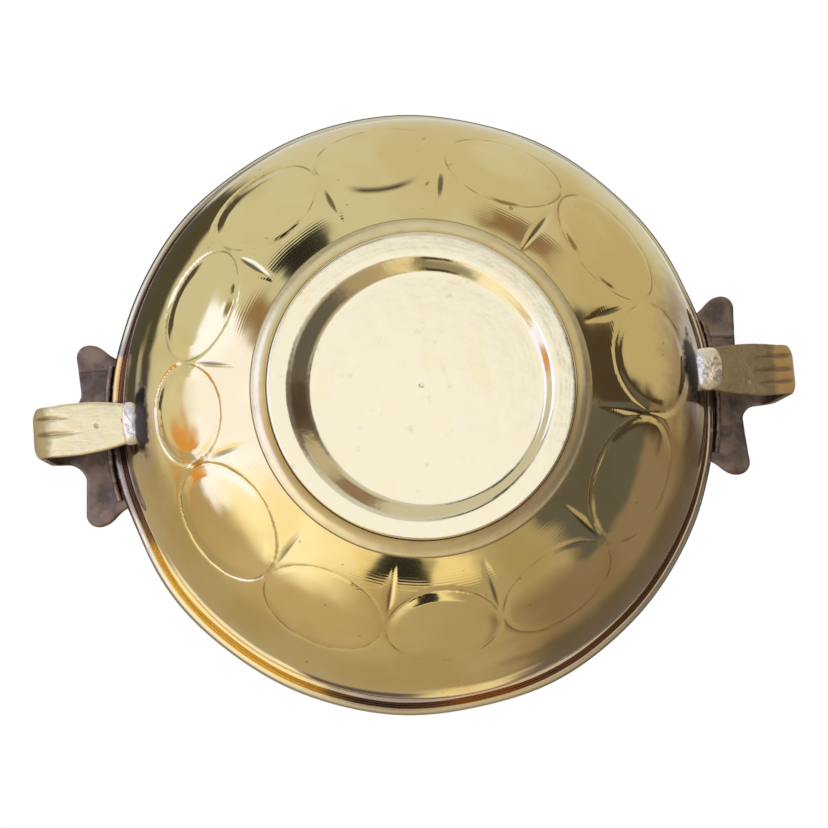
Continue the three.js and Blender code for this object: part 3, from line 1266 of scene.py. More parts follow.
@dataclass
class Profile:
    """A line of radius and height that grows corner by corner, in millimetres."""

    points: list[Place] = field(default_factory=list)
    firm_below: float = 40.0
    gives_over: float = 4.0
    closest: float = 1e-4

    @property
    def lengths(self) -> np.ndarray:
        """How far along the line each point lies."""
        steps = np.diff(np.array(self.points), axis=0)
        return np.concatenate([[0.0], np.cumsum(np.hypot(*steps.T))])

    def line(self, radius: float, height: float, steps: int = 1) -> float:
        """Goes straight to a point.

        Args:
            radius: The point's radius.
            height: The point's height.
            steps: How many pieces the line has.

        Returns:
            The line's length so far.
        """
        if not self.points:
            self.points.append((radius, height))
            return 0.0
        start = np.array(self.points[-1])
        for i in range(1, steps + 1):
            self.points.append(tuple(start + (np.array((radius, height)) - start) * i / steps))
        return float(self.lengths[-1])

    def arc(self, centre: Place, reach: Place, start: float, end: float, steps: int) -> float:
        """Follows part of an ellipse.

        Args:
            centre: Its centre.
            reach: Its half width and half height.
            start: First angle in degrees.
            end: Last angle in degrees.
            steps: How many pieces the arc has.

        Returns:
            The line's length so far.
        """
        for i in range(steps + 1):
            angle = math.radians(start + (end - start) * i / steps)
            point = (centre[0] + reach[0] * math.cos(angle), centre[1] + reach[1] * math.sin(angle))
            if not self.points or math.dist(point, self.points[-1]) > self.closest:
                self.points.append(point)
        return float(self.lengths[-1])

    def curve(self, pull: Place, end: Place, steps: int) -> None:
        """Bends to a point with one pull.

        Args:
            pull: The place that it bends towards.
            end: Where it ends.
            steps: How many pieces it has.
        """
        self.points += list(bezier(self.points[-1], pull, end, steps))

    def line_object(self, name: str) -> Object:
        """Makes the line a lathe can read.

        Args:
            name: The object's name.

        Returns:
            The object.
        """
        points = np.array(self.points)
        ahead = np.vstack([points[1:], points[-1:]]) - np.vstack([points[:1], points[:-1]])
        ahead /= np.linalg.norm(ahead, axis=1, keepdims=True)
        places = np.column_stack([points[:, 0], np.zeros(len(points)), points[:, 1]])
        loose = np.clip((points[:, 1] - self.firm_below) / self.gives_over, 0, 1)
        facts = {"radius": points[:, 0], "height": points[:, 1], "along": self.lengths, "loose": loose}
        return loose_line(name, places, lean=ahead[:, 1], rise=-ahead[:, 0], **facts)


# The bowl and its foot


@dataclass(frozen=True)
class WallMarks:
    """Where the parts of the bowl's profile lie along it, in millimetres from its start."""

    belly: float
    bead: float
    edge: float
    rim: float


@dataclass(frozen=True)
class HandCut:
    """A leaf-shaped gouge and the oval that follows it round the bowl.

    The bearing is in degrees. The leaf and the oval are the radii where each starts and
    ends, and the bevel is how deep the oval's edge is cut towards the foot and the lip.
    """

    bearing: float
    leaf: Span
    oval: Span
    bevel: Span


@dataclass(frozen=True)
class Burn:
    """A place that the torch has burnt, in millimetres, and how far its brown haze shows."""

    spot: Vector
    haze: float


@dataclass(frozen=True)
class CarvedLathe:
    """Turns the bowl's profile and cuts the leaves and ovals into its wall."""

    leaf_width: float = 3.2
    leaf_depth: float = 0.21
    leaf_lean: float = 1.2
    line_width: float = 0.9
    line_depth: float = 0.12
    oval_span: float = 0.97
    bevel_run: float = 0.62
    bevel_rise: float = 0.04
    dish: float = 0.06

    def weave(self, profile: Object, ring: Object, dress: Material) -> Mesh:
        """Builds the node tree and runs it.

        Args:
            profile: The bowl's profile.
            ring: The ring of columns, with the place of each cut.
            dress: The material.

        Returns:
            The bowl's mesh.
        """
        lathe = Lathe("carved_lathe")
        face = lathe.turn(ring)
        leaf = self._leaf(lathe, face)
        reach, bevel = self._oval(lathe, face)
        body = lathe.shape(face, leaf.most(bevel) + reach.fade(1.0, 0.0) * lathe.number("Dish", self.dish))
        groove = leaf / lathe.number("Full Depth", self.leaf_depth + self.line_depth)
        lathe.close(lathe.keep(body, along=face.along, oval_reach=reach, groove=groove), dress)
        return lathe.weave(profile)

    def _leaf(self, lathe: Lathe, face: LatheFace) -> Number:
        """Works out the leaf cuts: two broad flanks that meet in a fine line.

        Args:
            lathe: The tree.
            face: The wall before it is cut.

        Returns:
            How deep the cut is.
        """
        facts = ("leaf_start", "leaf_end", "leaf_turn")
        start, end, turn = (lathe.read(face.ring, fact, face.column) for fact in facts)
        across = abs(turn * face.radius) * 2.0
        swell = (((face.along - start) / (end - start)).clamp() ** self.leaf_lean * math.pi).apply("SINE")
        cuts = []
        parts = ("Leaf", self.leaf_width, self.leaf_depth), ("Line", self.line_width, self.line_depth)
        for part, width, depth in parts:
            flank = 1.0 - across / (lathe.number(part + " Width", width) * swell + 0.02)
            cuts.append(flank.most(0.0) * swell * lathe.number(part + " Depth", depth))
        return cuts[0] + cuts[1]

    def _oval(self, lathe: Lathe, face: LatheFace) -> tuple[Number, Number]:
        """Works out the ovals and the bevel within each oval's line.

        Args:
            lathe: The tree.
            face: The wall before it is cut.

        Returns:
            The reach inside each oval, 1 on its line, and how deep the bevel is.
        """
        facts = ("oval_start", "oval_end", "oval_share", "bevel_foot", "bevel_lip")
        start, end, share, by_foot, by_lip = (lathe.read(face.ring, fact, face.column) for fact in facts)
        ahead = (face.along * 2.0 - start - end) / (end - start)
        reach = (share / self.oval_span).spread(ahead)
        outer = (ahead * 0.5 + 0.5).clamp()
        depth = by_foot * (1.0 - outer) + by_lip * outer
        band = depth * lathe.number("Bevel Run", self.bevel_run)
        slope = ((reach - 1.0) / band + 1.0).clamp()
        rise = ((1.0 + self.bevel_rise - reach) / self.bevel_rise).clamp()
        return reach, slope * rise * depth


@dataclass
class Bowl:
    """The spun bowl with its wide lip and hand-cut wall."""

    rim: float = 74.6
    lip_overhang: float = 4.4
    belly_height: float = 37.7
    floor_radius: float = 29.8
    floor_height: float = 3.0
    wall: float = 1.6
    lip: float = 1.8
    bead: float = 1.35
    shoulder: float = 2.4
    shoulder_turn: float = 65.0
    neck: float = 2.3
    columns: int = 540
    fine_rows: tuple[int, int] = (-81, -27)
    sway: float = 0.30
    dents: tuple[tuple[float, int, float], ...] = ((0.13, 9, 1.0), (0.09, 14, 0.4), (0.06, 5, 0.0))
    plate_dent: float = 0.25
    plate_end: float = 0.33
    plate_end_soft: float = 0.09
    finish: PolishedWall = field(default_factory=PolishedWall)
    cuts: tuple[HandCut, ...] = (
        HandCut(-168.8, (39.2, 53.3), (46.0, 60.8), (0.30, 0.55)),
        HandCut(-139.2, (39.9, 52.3), (46.0, 63.9), (0.12, 0.50)),
        HandCut(-110.9, (40.0, 53.0), (46.3, 63.8), (0.40, 0.10)),
        HandCut(-79.7, (39.3, 52.9), (46.0, 62.8), (0.12, 0.10)),
        HandCut(-49.4, (36.7, 50.9), (46.4, 62.6), (0.28, 0.12)),
        HandCut(-17.3, (39.5, 50.9), (44.2, 62.5), (0.20, 0.38)),
        HandCut(10.6, (38.9, 55.4), (42.5, 60.6), (0.25, 0.15)),
        HandCut(44.6, (40.1, 53.7), (46.5, 61.5), (0.10, 0.15)),
        HandCut(75.2, (40.0, 54.2), (45.2, 60.9), (0.50, 0.12)),
        HandCut(103.5, (38.5, 53.8), (45.5, 61.5), (0.12, 0.16)),
        HandCut(134.2, (38.4, 53.8), (43.3, 61.2), (0.25, 0.40)),
        HandCut(166.3, (38.5, 52.3), (45.0, 60.3), (0.25, 0.45)),
    )

    @property
    def belly(self) -> float:
        """Widest radius of the wall."""
        return self.rim - self.lip_overhang

    @property
    def reach(self) -> Place:
        """Half width and half height of the wall's quarter ellipse."""
        return self.belly - self.floor_radius, self.belly_height - self.floor_height

    @property
    def neck_centre(self) -> Place:
        """Centre of the hollow turn under the lip."""
        turn, far = math.radians(self.shoulder_turn), self.shoulder + self.neck
        return self.belly - self.shoulder + far * math.cos(turn), self.belly_height + far * math.sin(turn)

    @property
    def lip_top(self) -> float:
        """Height of the lip's upper face."""
        return self.neck_centre[1] + self.neck + self.lip

    def radius_at(self, height: np.ndarray | float) -> np.ndarray | float:
        """Radius of the wall's outside at a height below the belly."""
        across, down = self.reach
        drop = np.clip((self.belly_height - height) / down, 0.0, 1.0)
        return self.floor_radius + across * np.sqrt(1 - drop**2)

    def height_at(self, radius: float) -> float:
        """Height of the wall's outside at a radius, below the belly."""
        across, down = self.reach
        return self.belly_height - down * math.sqrt(1 - ((radius - self.floor_radius) / across) ** 2)

    def outline(self) -> tuple[Profile, WallMarks]:
        """Draws the profile from the middle of the underside round to the inside's middle.

        Returns:
            The profile and where its parts lie.
        """
        line = Profile()
        across, down = self.reach
        floor = (self.floor_radius, self.belly_height)
        line.line(0.0, self.floor_height)
        line.line(self.floor_radius, self.floor_height, 3)
        line.arc(floor, (across, down), -90, self.fine_rows[0], 6)
        line.arc(floor, (across, down), *self.fine_rows, 80)
        belly = line.arc(floor, (across, down), self.fine_rows[1], 0, 16)
        shoulder = (self.belly - self.shoulder, self.belly_height)
        line.arc(shoulder, (self.shoulder,) * 2, 0, self.shoulder_turn, 6)
        line.arc(self.neck_centre, (self.neck,) * 2, self.shoulder_turn + 180, 90, 9)
        roll = (self.rim - self.bead, self.lip_top - self.bead)
        under = math.degrees(math.asin((self.lip_top - self.lip - roll[1]) / self.bead))
        start = roll[0] - self.bead * math.cos(math.radians(under))
        bead = line.line(start, self.lip_top - self.lip, 4)
        rim = line.arc(roll, (self.bead,) * 2, -180 - under, 90, 14)
        line.line(self.neck_centre[0], self.lip_top, 4)
        inner = self.neck + self.lip
        line.arc(self.neck_centre, (inner, inner), 90, 180 + self.shoulder_turn, 8)
        line.arc(shoulder, (self.shoulder - self.wall,) * 2, self.shoulder_turn, 0, 3)
        line.arc(floor, (across - self.wall, down - self.wall), 0, -90, 14)
        line.line(0.0, self.floor_height + self.wall, 3)
        return line, WallMarks(belly, bead, rim - self.bead * math.pi / 2, rim)

    def ring(self, profile: Profile, marks: WallMarks) -> Object:
        """Spreads the columns round the bowl and works out the cuts next to each.

        Args:
            profile: The bowl's profile.
            marks: Where its parts lie.

        Returns:
            The line that the lathe reads.
        """
        bearing = np.linspace(-math.pi, math.pi, self.columns + 1)
        edges = np.radians([c.bearing for c in self.cuts])
        sector = (np.searchsorted(edges, bearing) - 1) % len(edges)
        ahead = np.mod(bearing - edges[sector], math.tau)
        width = np.mod(np.roll(edges, -1) - edges, math.tau)[sector]
        nearest = np.where(ahead < width / 2, sector, (sector + 1) % len(edges))
        turn = np.where(ahead < width / 2, ahead, ahead - width)
        lengths = profile.lengths
        wall = lengths <= marks.belly
        radii = np.array(profile.points)[wall, 0]
        leaf = np.interp([c.leaf for c in self.cuts], radii, lengths[wall])
        oval = np.interp([c.oval for c in self.cuts], radii, lengths[wall])
        bevel = np.array([c.bevel for c in self.cuts])
        return loose_line(
            "ring",
            circle(bearing, self.rim),
            bearing=bearing,
            sway=self._sway(bearing),
            leaf_turn=turn,
            leaf_start=leaf[nearest, 0],
            leaf_end=leaf[nearest, 1],
            oval_share=2 * ahead / width - 1,
            oval_start=oval[sector, 0],
            oval_end=oval[sector, 1],
            bevel_foot=bevel[sector, 0],
            bevel_lip=bevel[sector, 1],
        )

    def _sway(self, bearing: np.ndarray) -> np.ndarray:
        """How far the hand-beaten lip stands in from its full radius, in millimetres."""
        dents = sum(height * np.sin(count * bearing + start) for height, count, start in self.dents)
        by_plates = np.exp(-(((np.abs(np.sin(bearing)) - self.plate_end) / self.plate_end_soft) ** 2))
        return self.sway + dents + self.plate_dent * by_plates

    def build(self, burns: Iterable[Burn]) -> Object:
        """Builds and dresses the bowl.

        Args:
            burns: The places that the torch has burnt.

        Returns:
            The piece.
        """
        profile, marks = self.outline()
        material = self.finish.dress(marks, burns)
        mesh = CarvedLathe().weave(profile.line_object("bowl_wall"), self.ring(profile, marks), material)
        return adopt(mesh, "carved_bowl", Slot.BOWL, "bowl")


@dataclass
class Foot:
    """The turned foot and the brazing round it."""

    radius: float = 34.3
    height: float = 3.0
    edge: float = 0.5
    crest: float = 4.4
    step: float = 3.1
    recess: float = 1.4
    cove_gap: float = 0.3
    cove_reach: float = 3.9
    cove_low: float = 0.9
    disc_round: float = 0.8
    disc_drop: float = 0.35
    crest_round: float = 0.7
    crest_drop: float = 0.28
    disc_shift: Span = (1.04, 0.74)
    step_shift: Span = (-0.29, 0.48)
    shift_over: float = 0.2
    shift_fades: float = 0.8
    cove_pull: Span = (0.9, 0.25)
    columns: int = 288

    def build(self) -> Object:
        """Builds and dresses the foot."""
        crest_outer = self.radius - self.edge
        crest_inner = crest_outer - self.crest
        disc = crest_inner - self.step
        line = Profile()
        line.line(0.0, self.recess)
        line.line(disc - self.disc_round, self.recess, 24)
        line.curve((disc, self.recess), (disc + self.crest_round, self.recess - self.disc_drop), 6)
        line.line(crest_inner - self.crest_round, self.crest_drop, 8)
        line.curve((crest_inner, 0.0), (crest_inner + self.disc_round, 0.0), 6)
        line.line(crest_outer, 0.0, 6)
        line.arc((crest_outer, self.edge), (self.edge,) * 2, -90, 0, 8)
        line.line(self.radius, self.height, 3)
        line.line(0.0, self.height, 4)
        mesh = self._turn(line, "foot_disc", TurnedFoot().dress())
        self._shift_disc(mesh, disc, crest_inner)
        return adopt(mesh, "turned_foot", Slot.FOOT, "foot")

    def _shift_disc(self, mesh: Mesh, disc: float, crest_inner: float) -> None:
        """Sets the recessed disc and its step a little off the foot's centre, as they were turned.

        Args:
            mesh: The foot.
            disc: The disc's radius.
            crest_inner: The crest's inner radius.
        """
        places = read_places(mesh)
        radius = np.hypot(places[:, 0], places[:, 1]) / MM
        low = places[:, 2] < (self.recess + self.shift_over) * MM
        stops = (disc, crest_inner, crest_inner + self.crest * self.shift_fades)
        for axis in (0, 1):
            shifts = (self.disc_shift[axis], self.step_shift[axis], 0.0)
            places[:, axis] += np.where(low, np.interp(radius, stops, shifts), 0.0) * MM
        write_places(mesh, places)

    def build_cove(self, bowl: Bowl) -> Object:
        """Builds and dresses the brazed fillet.

        Args:
            bowl: The bowl whose wall the fillet lies on.

        Returns:
            The piece.
        """
        inner, outer = self.radius + self.cove_gap / 3, self.radius + self.cove_reach
        walk = [outer + (inner - outer) * i / 8 for i in range(9)]
        wall = [(radius, bowl.height_at(radius) - self.cove_gap / 6) for radius in walk]
        line = Profile([(inner, self.cove_low)])
        line.curve((inner + self.cove_pull[0], wall[0][1] - self.cove_pull[1]), wall[0], 16)
        del line.points[0]
        for radius, height in wall[1:]:
            line.line(radius, height)
        line.line(inner, self.cove_low, 4)
        mesh = self._turn(line, "cove_turn", BrazedCove().dress())
        return adopt(mesh, "brazed_cove", Slot.COVE, "foot_solder")

    def _turn(self, line: Profile, name: str, material: Material) -> Mesh:
        """Turns a profile on a plain lathe.

        Args:
            line: The profile.
            name: The mesh's name.
            material: Its material.

        Returns:
            The mesh.
        """
        bearing = np.linspace(-math.pi, math.pi, self.columns + 1)
        ring = loose_line("plain_ring", circle(bearing, self.radius), bearing=bearing, sway=0 * bearing)
        lathe = Lathe("plain_lathe")
        lathe.close(lathe.shape(lathe.turn(ring)), material)
        return lathe.weave(line.line_object(name))


def bezier(start: Place, pull: Place, end: Place, steps: int) -> np.ndarray:
    """Points of a curve with one pull, without its start.

    Args:
        start: Where it starts.
        pull: The place that it bends towards.
        end: Where it ends.
        steps: How many pieces it has.

    Returns:
        The points.
    """
    share = np.linspace(0, 1, steps + 1)[:, None]
    start, pull, end = (np.array(p) for p in (start, pull, end))
    return ((1 - share) ** 2 * start + 2 * share * (1 - share) * pull + share**2 * end)[1:]


# Handles


@dataclass(frozen=True)
class Flute:
    """A pointed groove along the outside of a handle's strap, in the handle's own frame."""

    offset: float
    start: float
    half_width: float
    depth: float = 0.42


@dataclass(frozen=True)
class Station:
    """A cross-section of a strap: its middle, the outward angle, half its width and its lean sideways."""

    x: float
    z: float
    turn: float
    half: float
    lean: float


@dataclass
class Handle:
    """A cast handle: a lobed plate on the lip and a strap that curls back to the wall."""

    side: Side
    neck: float
    root_lean: float
    bend_lean: float
    tip_lean: float
    tip_standoff: float
    wear: HandleWear
    flutes: tuple[Flute, ...]
    plate: float = 2.0
    plate_lap: float = 3.0
    plate_overhang: float = 7.4
    plate_half: float = 22.5
    plate_waist: float = 0.8
    lobe: float = 3.1
    lobe_fullness: float = 0.55
    lobe_shoulder: float = 18.0
    plate_gap: float = 0.3
    strap: float = 2.0
    root_width: float = 13.0
    bend_width: float = 11.8
    tip_width: float = 8.6
    swell: float = 0.5
    loop_reach: float = 15.6
    loop_drop: float = 24.5
    loop_top: float = 6.0
    loop_low: float = 4.0
    flutes_stop: float = 62.0
    flute_rise: float = 9.0
    flute_skin: float = 0.4
    flute_lean: float = 1.6
    flute_taper: float = 1.3
    flute_least: float = 1e-3
    corner: float = 1.0
    corner_from: float = 80.0
    tip_sink: float = 0.6
    tip_clearance: float = 0.12
    voxel: float = 0.3
    easing: float = 0.5
    easings: int = 8

    def top(self, bowl: Bowl) -> float:
        """Height of the plate's upper face."""
        return bowl.lip_top + self.plate_gap + self.plate

    def outline(self, rim: float) -> np.ndarray:
        """Draws the plate's outline, seen from above, with x outwards.

        Args:
            rim: The bowl's outer radius.

        Returns:
            The points, counter-clockwise.
        """
        inner, side = rim - self.plate_lap, rim + self.plate_overhang
        lobe_x, lobe_y = side - self.lobe, self.plate_half - self.lobe
        turn = math.asin(self.lobe_shoulder / inner)
        start_x = inner * math.cos(turn)
        bend_x = start_x + (lobe_x - start_x) * self.lobe_fullness
        share = np.linspace(0, 1, 21)[:, None]
        rest = 1 - share
        shoulder = rest**2 * (start_x, -self.lobe_shoulder) + 3 * share * rest * (bend_x, -self.lobe_shoulder)
        tip = 3 * share * rest * (bend_x, -self.plate_half) + share**2 * (lobe_x, -self.plate_half)
        lower = rest * shoulder + share * tip
        quarter = np.linspace(-math.pi / 2, 0, 13)
        lobe = np.column_stack([lobe_x + self.lobe * np.cos(quarter), -lobe_y + self.lobe * np.sin(quarter)])
        edge = bezier((side, -lobe_y), (side - 2 * self.plate_waist, 0), (side, lobe_y), 24)
        arc = circle(np.linspace(turn, -turn, 41)[1:-1], inner)[:, :2]
        mirror = [1, -1]
        return np.vstack([lower, lobe[1:], edge[:-1], lobe[::-1] * mirror, lower[::-1][1:] * mirror, arc])

    def stations(self, bowl: Bowl) -> list[Station]:
        """Walks along the strap's middle line.

        Args:
            bowl: The bowl that the handle belongs to.

        Returns:
            The cross-sections, from the plate round to the tip.
        """
        half, up = self.strap / 2, math.pi / 2
        top, low = self.top(bowl) - half, self.top(bowl) - self.loop_drop + half
        side, far = bowl.rim + self.plate_overhang - self.plate_waist, bowl.rim + self.loop_reach - half
        root, bend = self.root_width / 2, self.bend_width / 2
        flare = self.neck - root
        walk = [Station(side - flare, top, up, self.neck, self.root_lean)]
        for i in range(13):
            turn = up * i / 12
            x, wide = side + flare * (1 - math.cos(turn)), root + flare * (1 - math.sin(turn))
            walk.append(Station(x, top, up, wide, self.root_lean))
        turns = (
            (top - self.loop_top + half, self.loop_top - half, up, 0.0),
            (low + self.loop_low - half, self.loop_low - half, 0.0, 1.0),
        )
        for height, radius, first, settled in turns:
            for i in range(17):
                share, turn = max(settled, i / 16), first - up * i / 16
                x, z = far - radius + radius * math.cos(turn), height + radius * math.sin(turn)
                lean = self.root_lean + (self.bend_lean - self.root_lean) * share
                walk.append(Station(x, z, turn, root + (bend - root) * share, lean))
        start = far - self.loop_low + half
        wall = float(bowl.radius_at(self.top(bowl) - self.loop_drop))
        end = wall + self.plate_gap + self.tip_standoff - self.tip_sink
        for i in range(1, 25):
            share = i / 24
            wide = bend + (self.tip_width / 2 - bend) * share**2 + self.swell * math.sin(math.pi * share)
            lean = self.bend_lean + (self.tip_lean - self.bend_lean) * share
            walk.append(Station(start + (end - start) * share, low, -up, wide, lean))
        return walk

    def build(self, bowl: Bowl) -> Object:
        """Builds and dresses the handle.

        Args:
            bowl: The bowl that it belongs to.

        Returns:
            The piece.
        """
        shape = bmesh.new()
        bottom = bowl.lip_top + self.plate_gap
        self._add_plate(shape, self.outline(bowl.rim), bottom)
        self._add_strap(shape, self.stations(bowl))
        rough = bpy.data.meshes.new("rough_handle")
        shape.to_mesh(rough)
        shape.free()
        mesh = self._fuse(rough)
        self._settle(mesh, bowl)
        name = f"cast_handle_{self.side.label}"
        mesh.materials.append(CastHandle().dress(name, bottom, self.wear))
        return adopt(mesh, name, Slot.HANDLE, f"handle_{self.side.label}")

    def _add_plate(self, shape: bmesh.types.BMesh, outline: np.ndarray, bottom: float) -> None:
        """Adds the plate as a prism.

        Args:
            shape: The mesh that it goes into.
            outline: The plate's outline.
            bottom: Height of its underside.
        """
        layers = [[shape.verts.new((x, y, z)) for x, y in outline] for z in (bottom, bottom + self.plate)]
        shape.faces.new(layers[0][::-1])
        shape.faces.new(layers[1])
        self._join_rings(shape, *layers)

    @staticmethod
    def _join_rings(shape: bmesh.types.BMesh, ring: list, after: list) -> None:
        """Puts faces between two rings of points.

        Args:
            shape: The mesh that holds them.
            ring: The first ring.
            after: The second ring, with as many points.
        """
        for i in range(len(ring)):
            j = (i + 1) % len(ring)
            shape.faces.new((ring[i], ring[j], after[j], after[i]))

    def _add_strap(self, shape: bmesh.types.BMesh, walk: list[Station]) -> None:
        """Adds the strap as a swept oblong with closed ends.

        Args:
            shape: The mesh that it goes into.
            walk: The cross-sections.
        """
        rings = []
        for stop in walk:
            ring = []
            for aside, out in ((-stop.half, -1), (stop.half, -1), (stop.half, 1), (-stop.half, 1)):
                step = out * self.strap / 2
                x, z = stop.x + math.cos(stop.turn) * step, stop.z + math.sin(stop.turn) * step
                ring.append(shape.verts.new((x, stop.lean + aside, z)))
            rings.append(ring)
        for ring, after in zip(rings, rings[1:], strict=False):
            self._join_rings(shape, ring, after)
        shape.faces.new(rings[0])
        shape.faces.new(rings[-1][::-1])
        bmesh.ops.recalc_face_normals(shape, faces=shape.faces)

    def _fuse(self, rough: Mesh) -> Mesh:
        """Melts the plate and the strap together, as one casting.

        Args:
            rough: The mesh that holds both.

        Returns:
            The fused mesh.
        """
        block = bpy.data.objects.new("rough_handle", rough)
        melt = block.modifiers.new("melt", "REMESH")
        melt.mode, melt.voxel_size = "VOXEL", self.voxel
        ease = block.modifiers.new("ease", "SMOOTH")
        ease.factor, ease.iterations = self.easing, self.easings
        mesh = settle(block)
        bpy.data.objects.remove(block)
        return mesh

    def _settle(self, mesh: Mesh, bowl: Bowl) -> None:
        """Cuts the flutes, rounds the bend, holds the tip off the wall and turns the handle to its side.

        Args:
            mesh: The fused casting.
            bowl: The bowl that the handle belongs to.
        """
        places, facing = read_places(mesh).astype(float), read_places(mesh, "normal")
        carved = self._carve(places, bowl)
        places -= facing * carved[:, None]
        x, y, z = places.T
        aside = np.clip(np.abs(y - self.bend_lean) / (self.bend_width / 2) * 2 - 1, 0, 1)
        ahead = np.clip((x - self.corner_from) / (bowl.rim + self.loop_reach - self.corner_from), 0, 1)
        x -= aside**2 * self.corner * ahead**2
        wall = np.sqrt(np.maximum((bowl.radius_at(z) + self.tip_clearance) ** 2 - y**2, 0))
        low = z < self.top(bowl) - self.loop_drop + 2 * self.strap
        x[low] = np.maximum(x, wall)[low]
        if self.side is Side.LEFT:
            places[:, :2] *= -1
        write_fact(mesh, "flute", carved / max(f.depth for f in self.flutes))
        write_places(mesh, places * MM)
        tidy(mesh)

    def _carve(self, places: np.ndarray, bowl: Bowl) -> np.ndarray:
        """Works out the flutes on the outside of the strap's lower bend.

        Args:
            places: The casting's points, in millimetres.
            bowl: The bowl that the handle belongs to.

        Returns:
            How deep each point is cut.
        """
        x, y, z = places.T
        bend = (bowl.rim + self.loop_reach - self.loop_low, self.top(bowl) - self.loop_drop + self.loop_low)
        right, up = x - bend[0], z - bend[1]
        skin = self.loop_low - self.strap * self.flute_skin
        on_leg = (up < -skin) & (right <= 0)
        on_bend = (np.hypot(right, up) > skin) & (right > 0) & (up < 0)
        on_far = (up >= 0) & (up < self.flute_rise) & (right > skin)
        length = np.where(right <= 0, right, np.arctan2(right, -up) * self.loop_low)
        length = np.where(on_far, math.pi / 2 * self.loop_low + up, length)
        carved, end = np.zeros(len(places)), math.radians(self.flutes_stop) * self.loop_low
        for flute in self.flutes:
            start = flute.start - bend[0]
            share = np.clip((length - start) / (end - start), 0, 1)
            swell = np.sqrt(np.clip(np.sin(math.pi * share**self.flute_lean), 0.0, 1))
            wide = flute.half_width * swell + self.flute_least
            cut = np.clip(1 - ((y - flute.offset) / wide) ** 2, 0, 1)
            cut = cut * (wide / flute.half_width) ** self.flute_taper * flute.depth
            carved = np.maximum(carved, np.where(on_leg | on_bend | on_far, cut, 0))
        return carved


@dataclass
class SolderSeam:
    """The bead of solder under a plate, along the bowl's rim."""

    side: Side
    half_length: float = 16.6
    low_radius: float = 75.3
    height: float = 45.5
    thick: float = 0.8
    ripple: float = 0.18
    ripple_waves: float = 900.0
    corners: int = 14
    steps: int = 140

    def build(self) -> Object:
        """Builds and dresses the seam."""
        name = f"rim_seam_{self.side.label}"
        loom = Loom(f"solder_seam_{self.side.label}")
        path = loom.step("MeshToCurve", Mesh=loom.inlet.outputs["Geometry"])
        thick = loom.number("Thickness", self.thick * MM)
        ring = loom.step("CurvePrimitiveCircle", Resolution=self.corners, Radius=thick)
        body = loom.step("CurveToMesh", Curve=path.outputs[0], Profile_Curve=ring.outputs[0], Fill_Caps=True)
        loom.close(ruffle(loom, body.outputs[0], self.ripple_waves, self.ripple), RimBraze().dress(name))
        turn = math.asin(self.half_length / self.low_radius)
        bearing = np.linspace(-turn, turn, self.steps) + math.radians(self.side.value)
        mesh = loom.weave(loose_line(name, circle(bearing, self.low_radius, self.height)))
        return adopt(mesh, name, Slot.SOLDER, f"rim_solder_{self.side.label}")


@dataclass
class SolderLump:
    """The lump of solder that holds a strap's tip to the wall."""

    side: Side
    reach: float
    lean: float
    haze: float
    silver: float
    half_length: float = 5.0
    half_height: float = 2.1
    height: float = 24.86
    sink: float = 2.2
    burn_drop: float = 5.2
    bite: float = 0.3
    squareness: float = 3.0
    ripple: float = 0.34
    ripple_waves: float = 420.0
    splits: int = 6

    def centre(self, bowl: Bowl) -> Vector:
        """Where the lump's middle lies, in millimetres."""
        out = float(bowl.radius_at(self.height)) + self.reach - self.sink
        way = -1.0 if self.side is Side.LEFT else 1.0
        return Vector((way * out, way * self.lean, self.height))

    def burn(self, bowl: Bowl) -> Burn:
        """Where the torch has burnt the wall, below the lump."""
        middle, height = self.centre(bowl), self.height - self.burn_drop
        out = math.copysign(float(bowl.radius_at(height)), middle.x)
        return Burn(Vector((out, middle.y, height)), self.haze)

    def _square(self, loom: Loom, ball: NodeSocket) -> NodeSocket:
        """Fills a ball out towards a box.

        Args:
            loom: The tree.
            ball: A ball with a radius of 1.

        Returns:
            The box with round corners.
        """
        place = loom.step("InputPosition").outputs[0]
        x, y, z = (abs(part) ** self.squareness for part in loom.split(place))
        grown = loom.stretch(place, (x + y + z) ** (-1 / self.squareness))
        return loom.step("SetPosition", Geometry=ball, Position=grown).outputs[0]

    def build(self, bowl: Bowl) -> Object:
        """Builds and dresses the lump.

        Args:
            bowl: The bowl whose wall the lump holds.

        Returns:
            The piece.
        """
        name, centre = f"wall_lump_{self.side.label}", self.centre(bowl)
        halves = Vector((self.reach, self.half_length, self.half_height))
        loom = Loom(f"solder_lump_{self.side.label}")
        size = loom.size("Half Sizes", halves * MM, "NodeSocketVector")
        middle = loom.size("Centre", centre * MM, "NodeSocketVector")
        ball = loom.step("MeshIcoSphere", Radius=1.0, Subdivisions=self.splits).outputs[0]
        body = loom.step("Transform", Geometry=self._square(loom, ball), Translation=middle, Scale=size)
        dress = TinSolder().dress(name, abs(centre.x) + self.silver)
        loom.close(ruffle(loom, body.outputs[0], self.ripple_waves, self.ripple), dress)
        mesh = loom.weave(loose_line(name, np.zeros((1, 3))))
        places = read_places(mesh).astype(float)
        radius = np.hypot(places[:, 0], places[:, 1])
        wall = (bowl.radius_at(places[:, 2] / MM) - self.bite) * MM
        places[:, :2] *= (np.maximum(radius, wall) / radius)[:, None]
        write_places(mesh, places)
        return adopt(mesh, name, Slot.SOLDER, f"wall_solder_{self.side.label}")


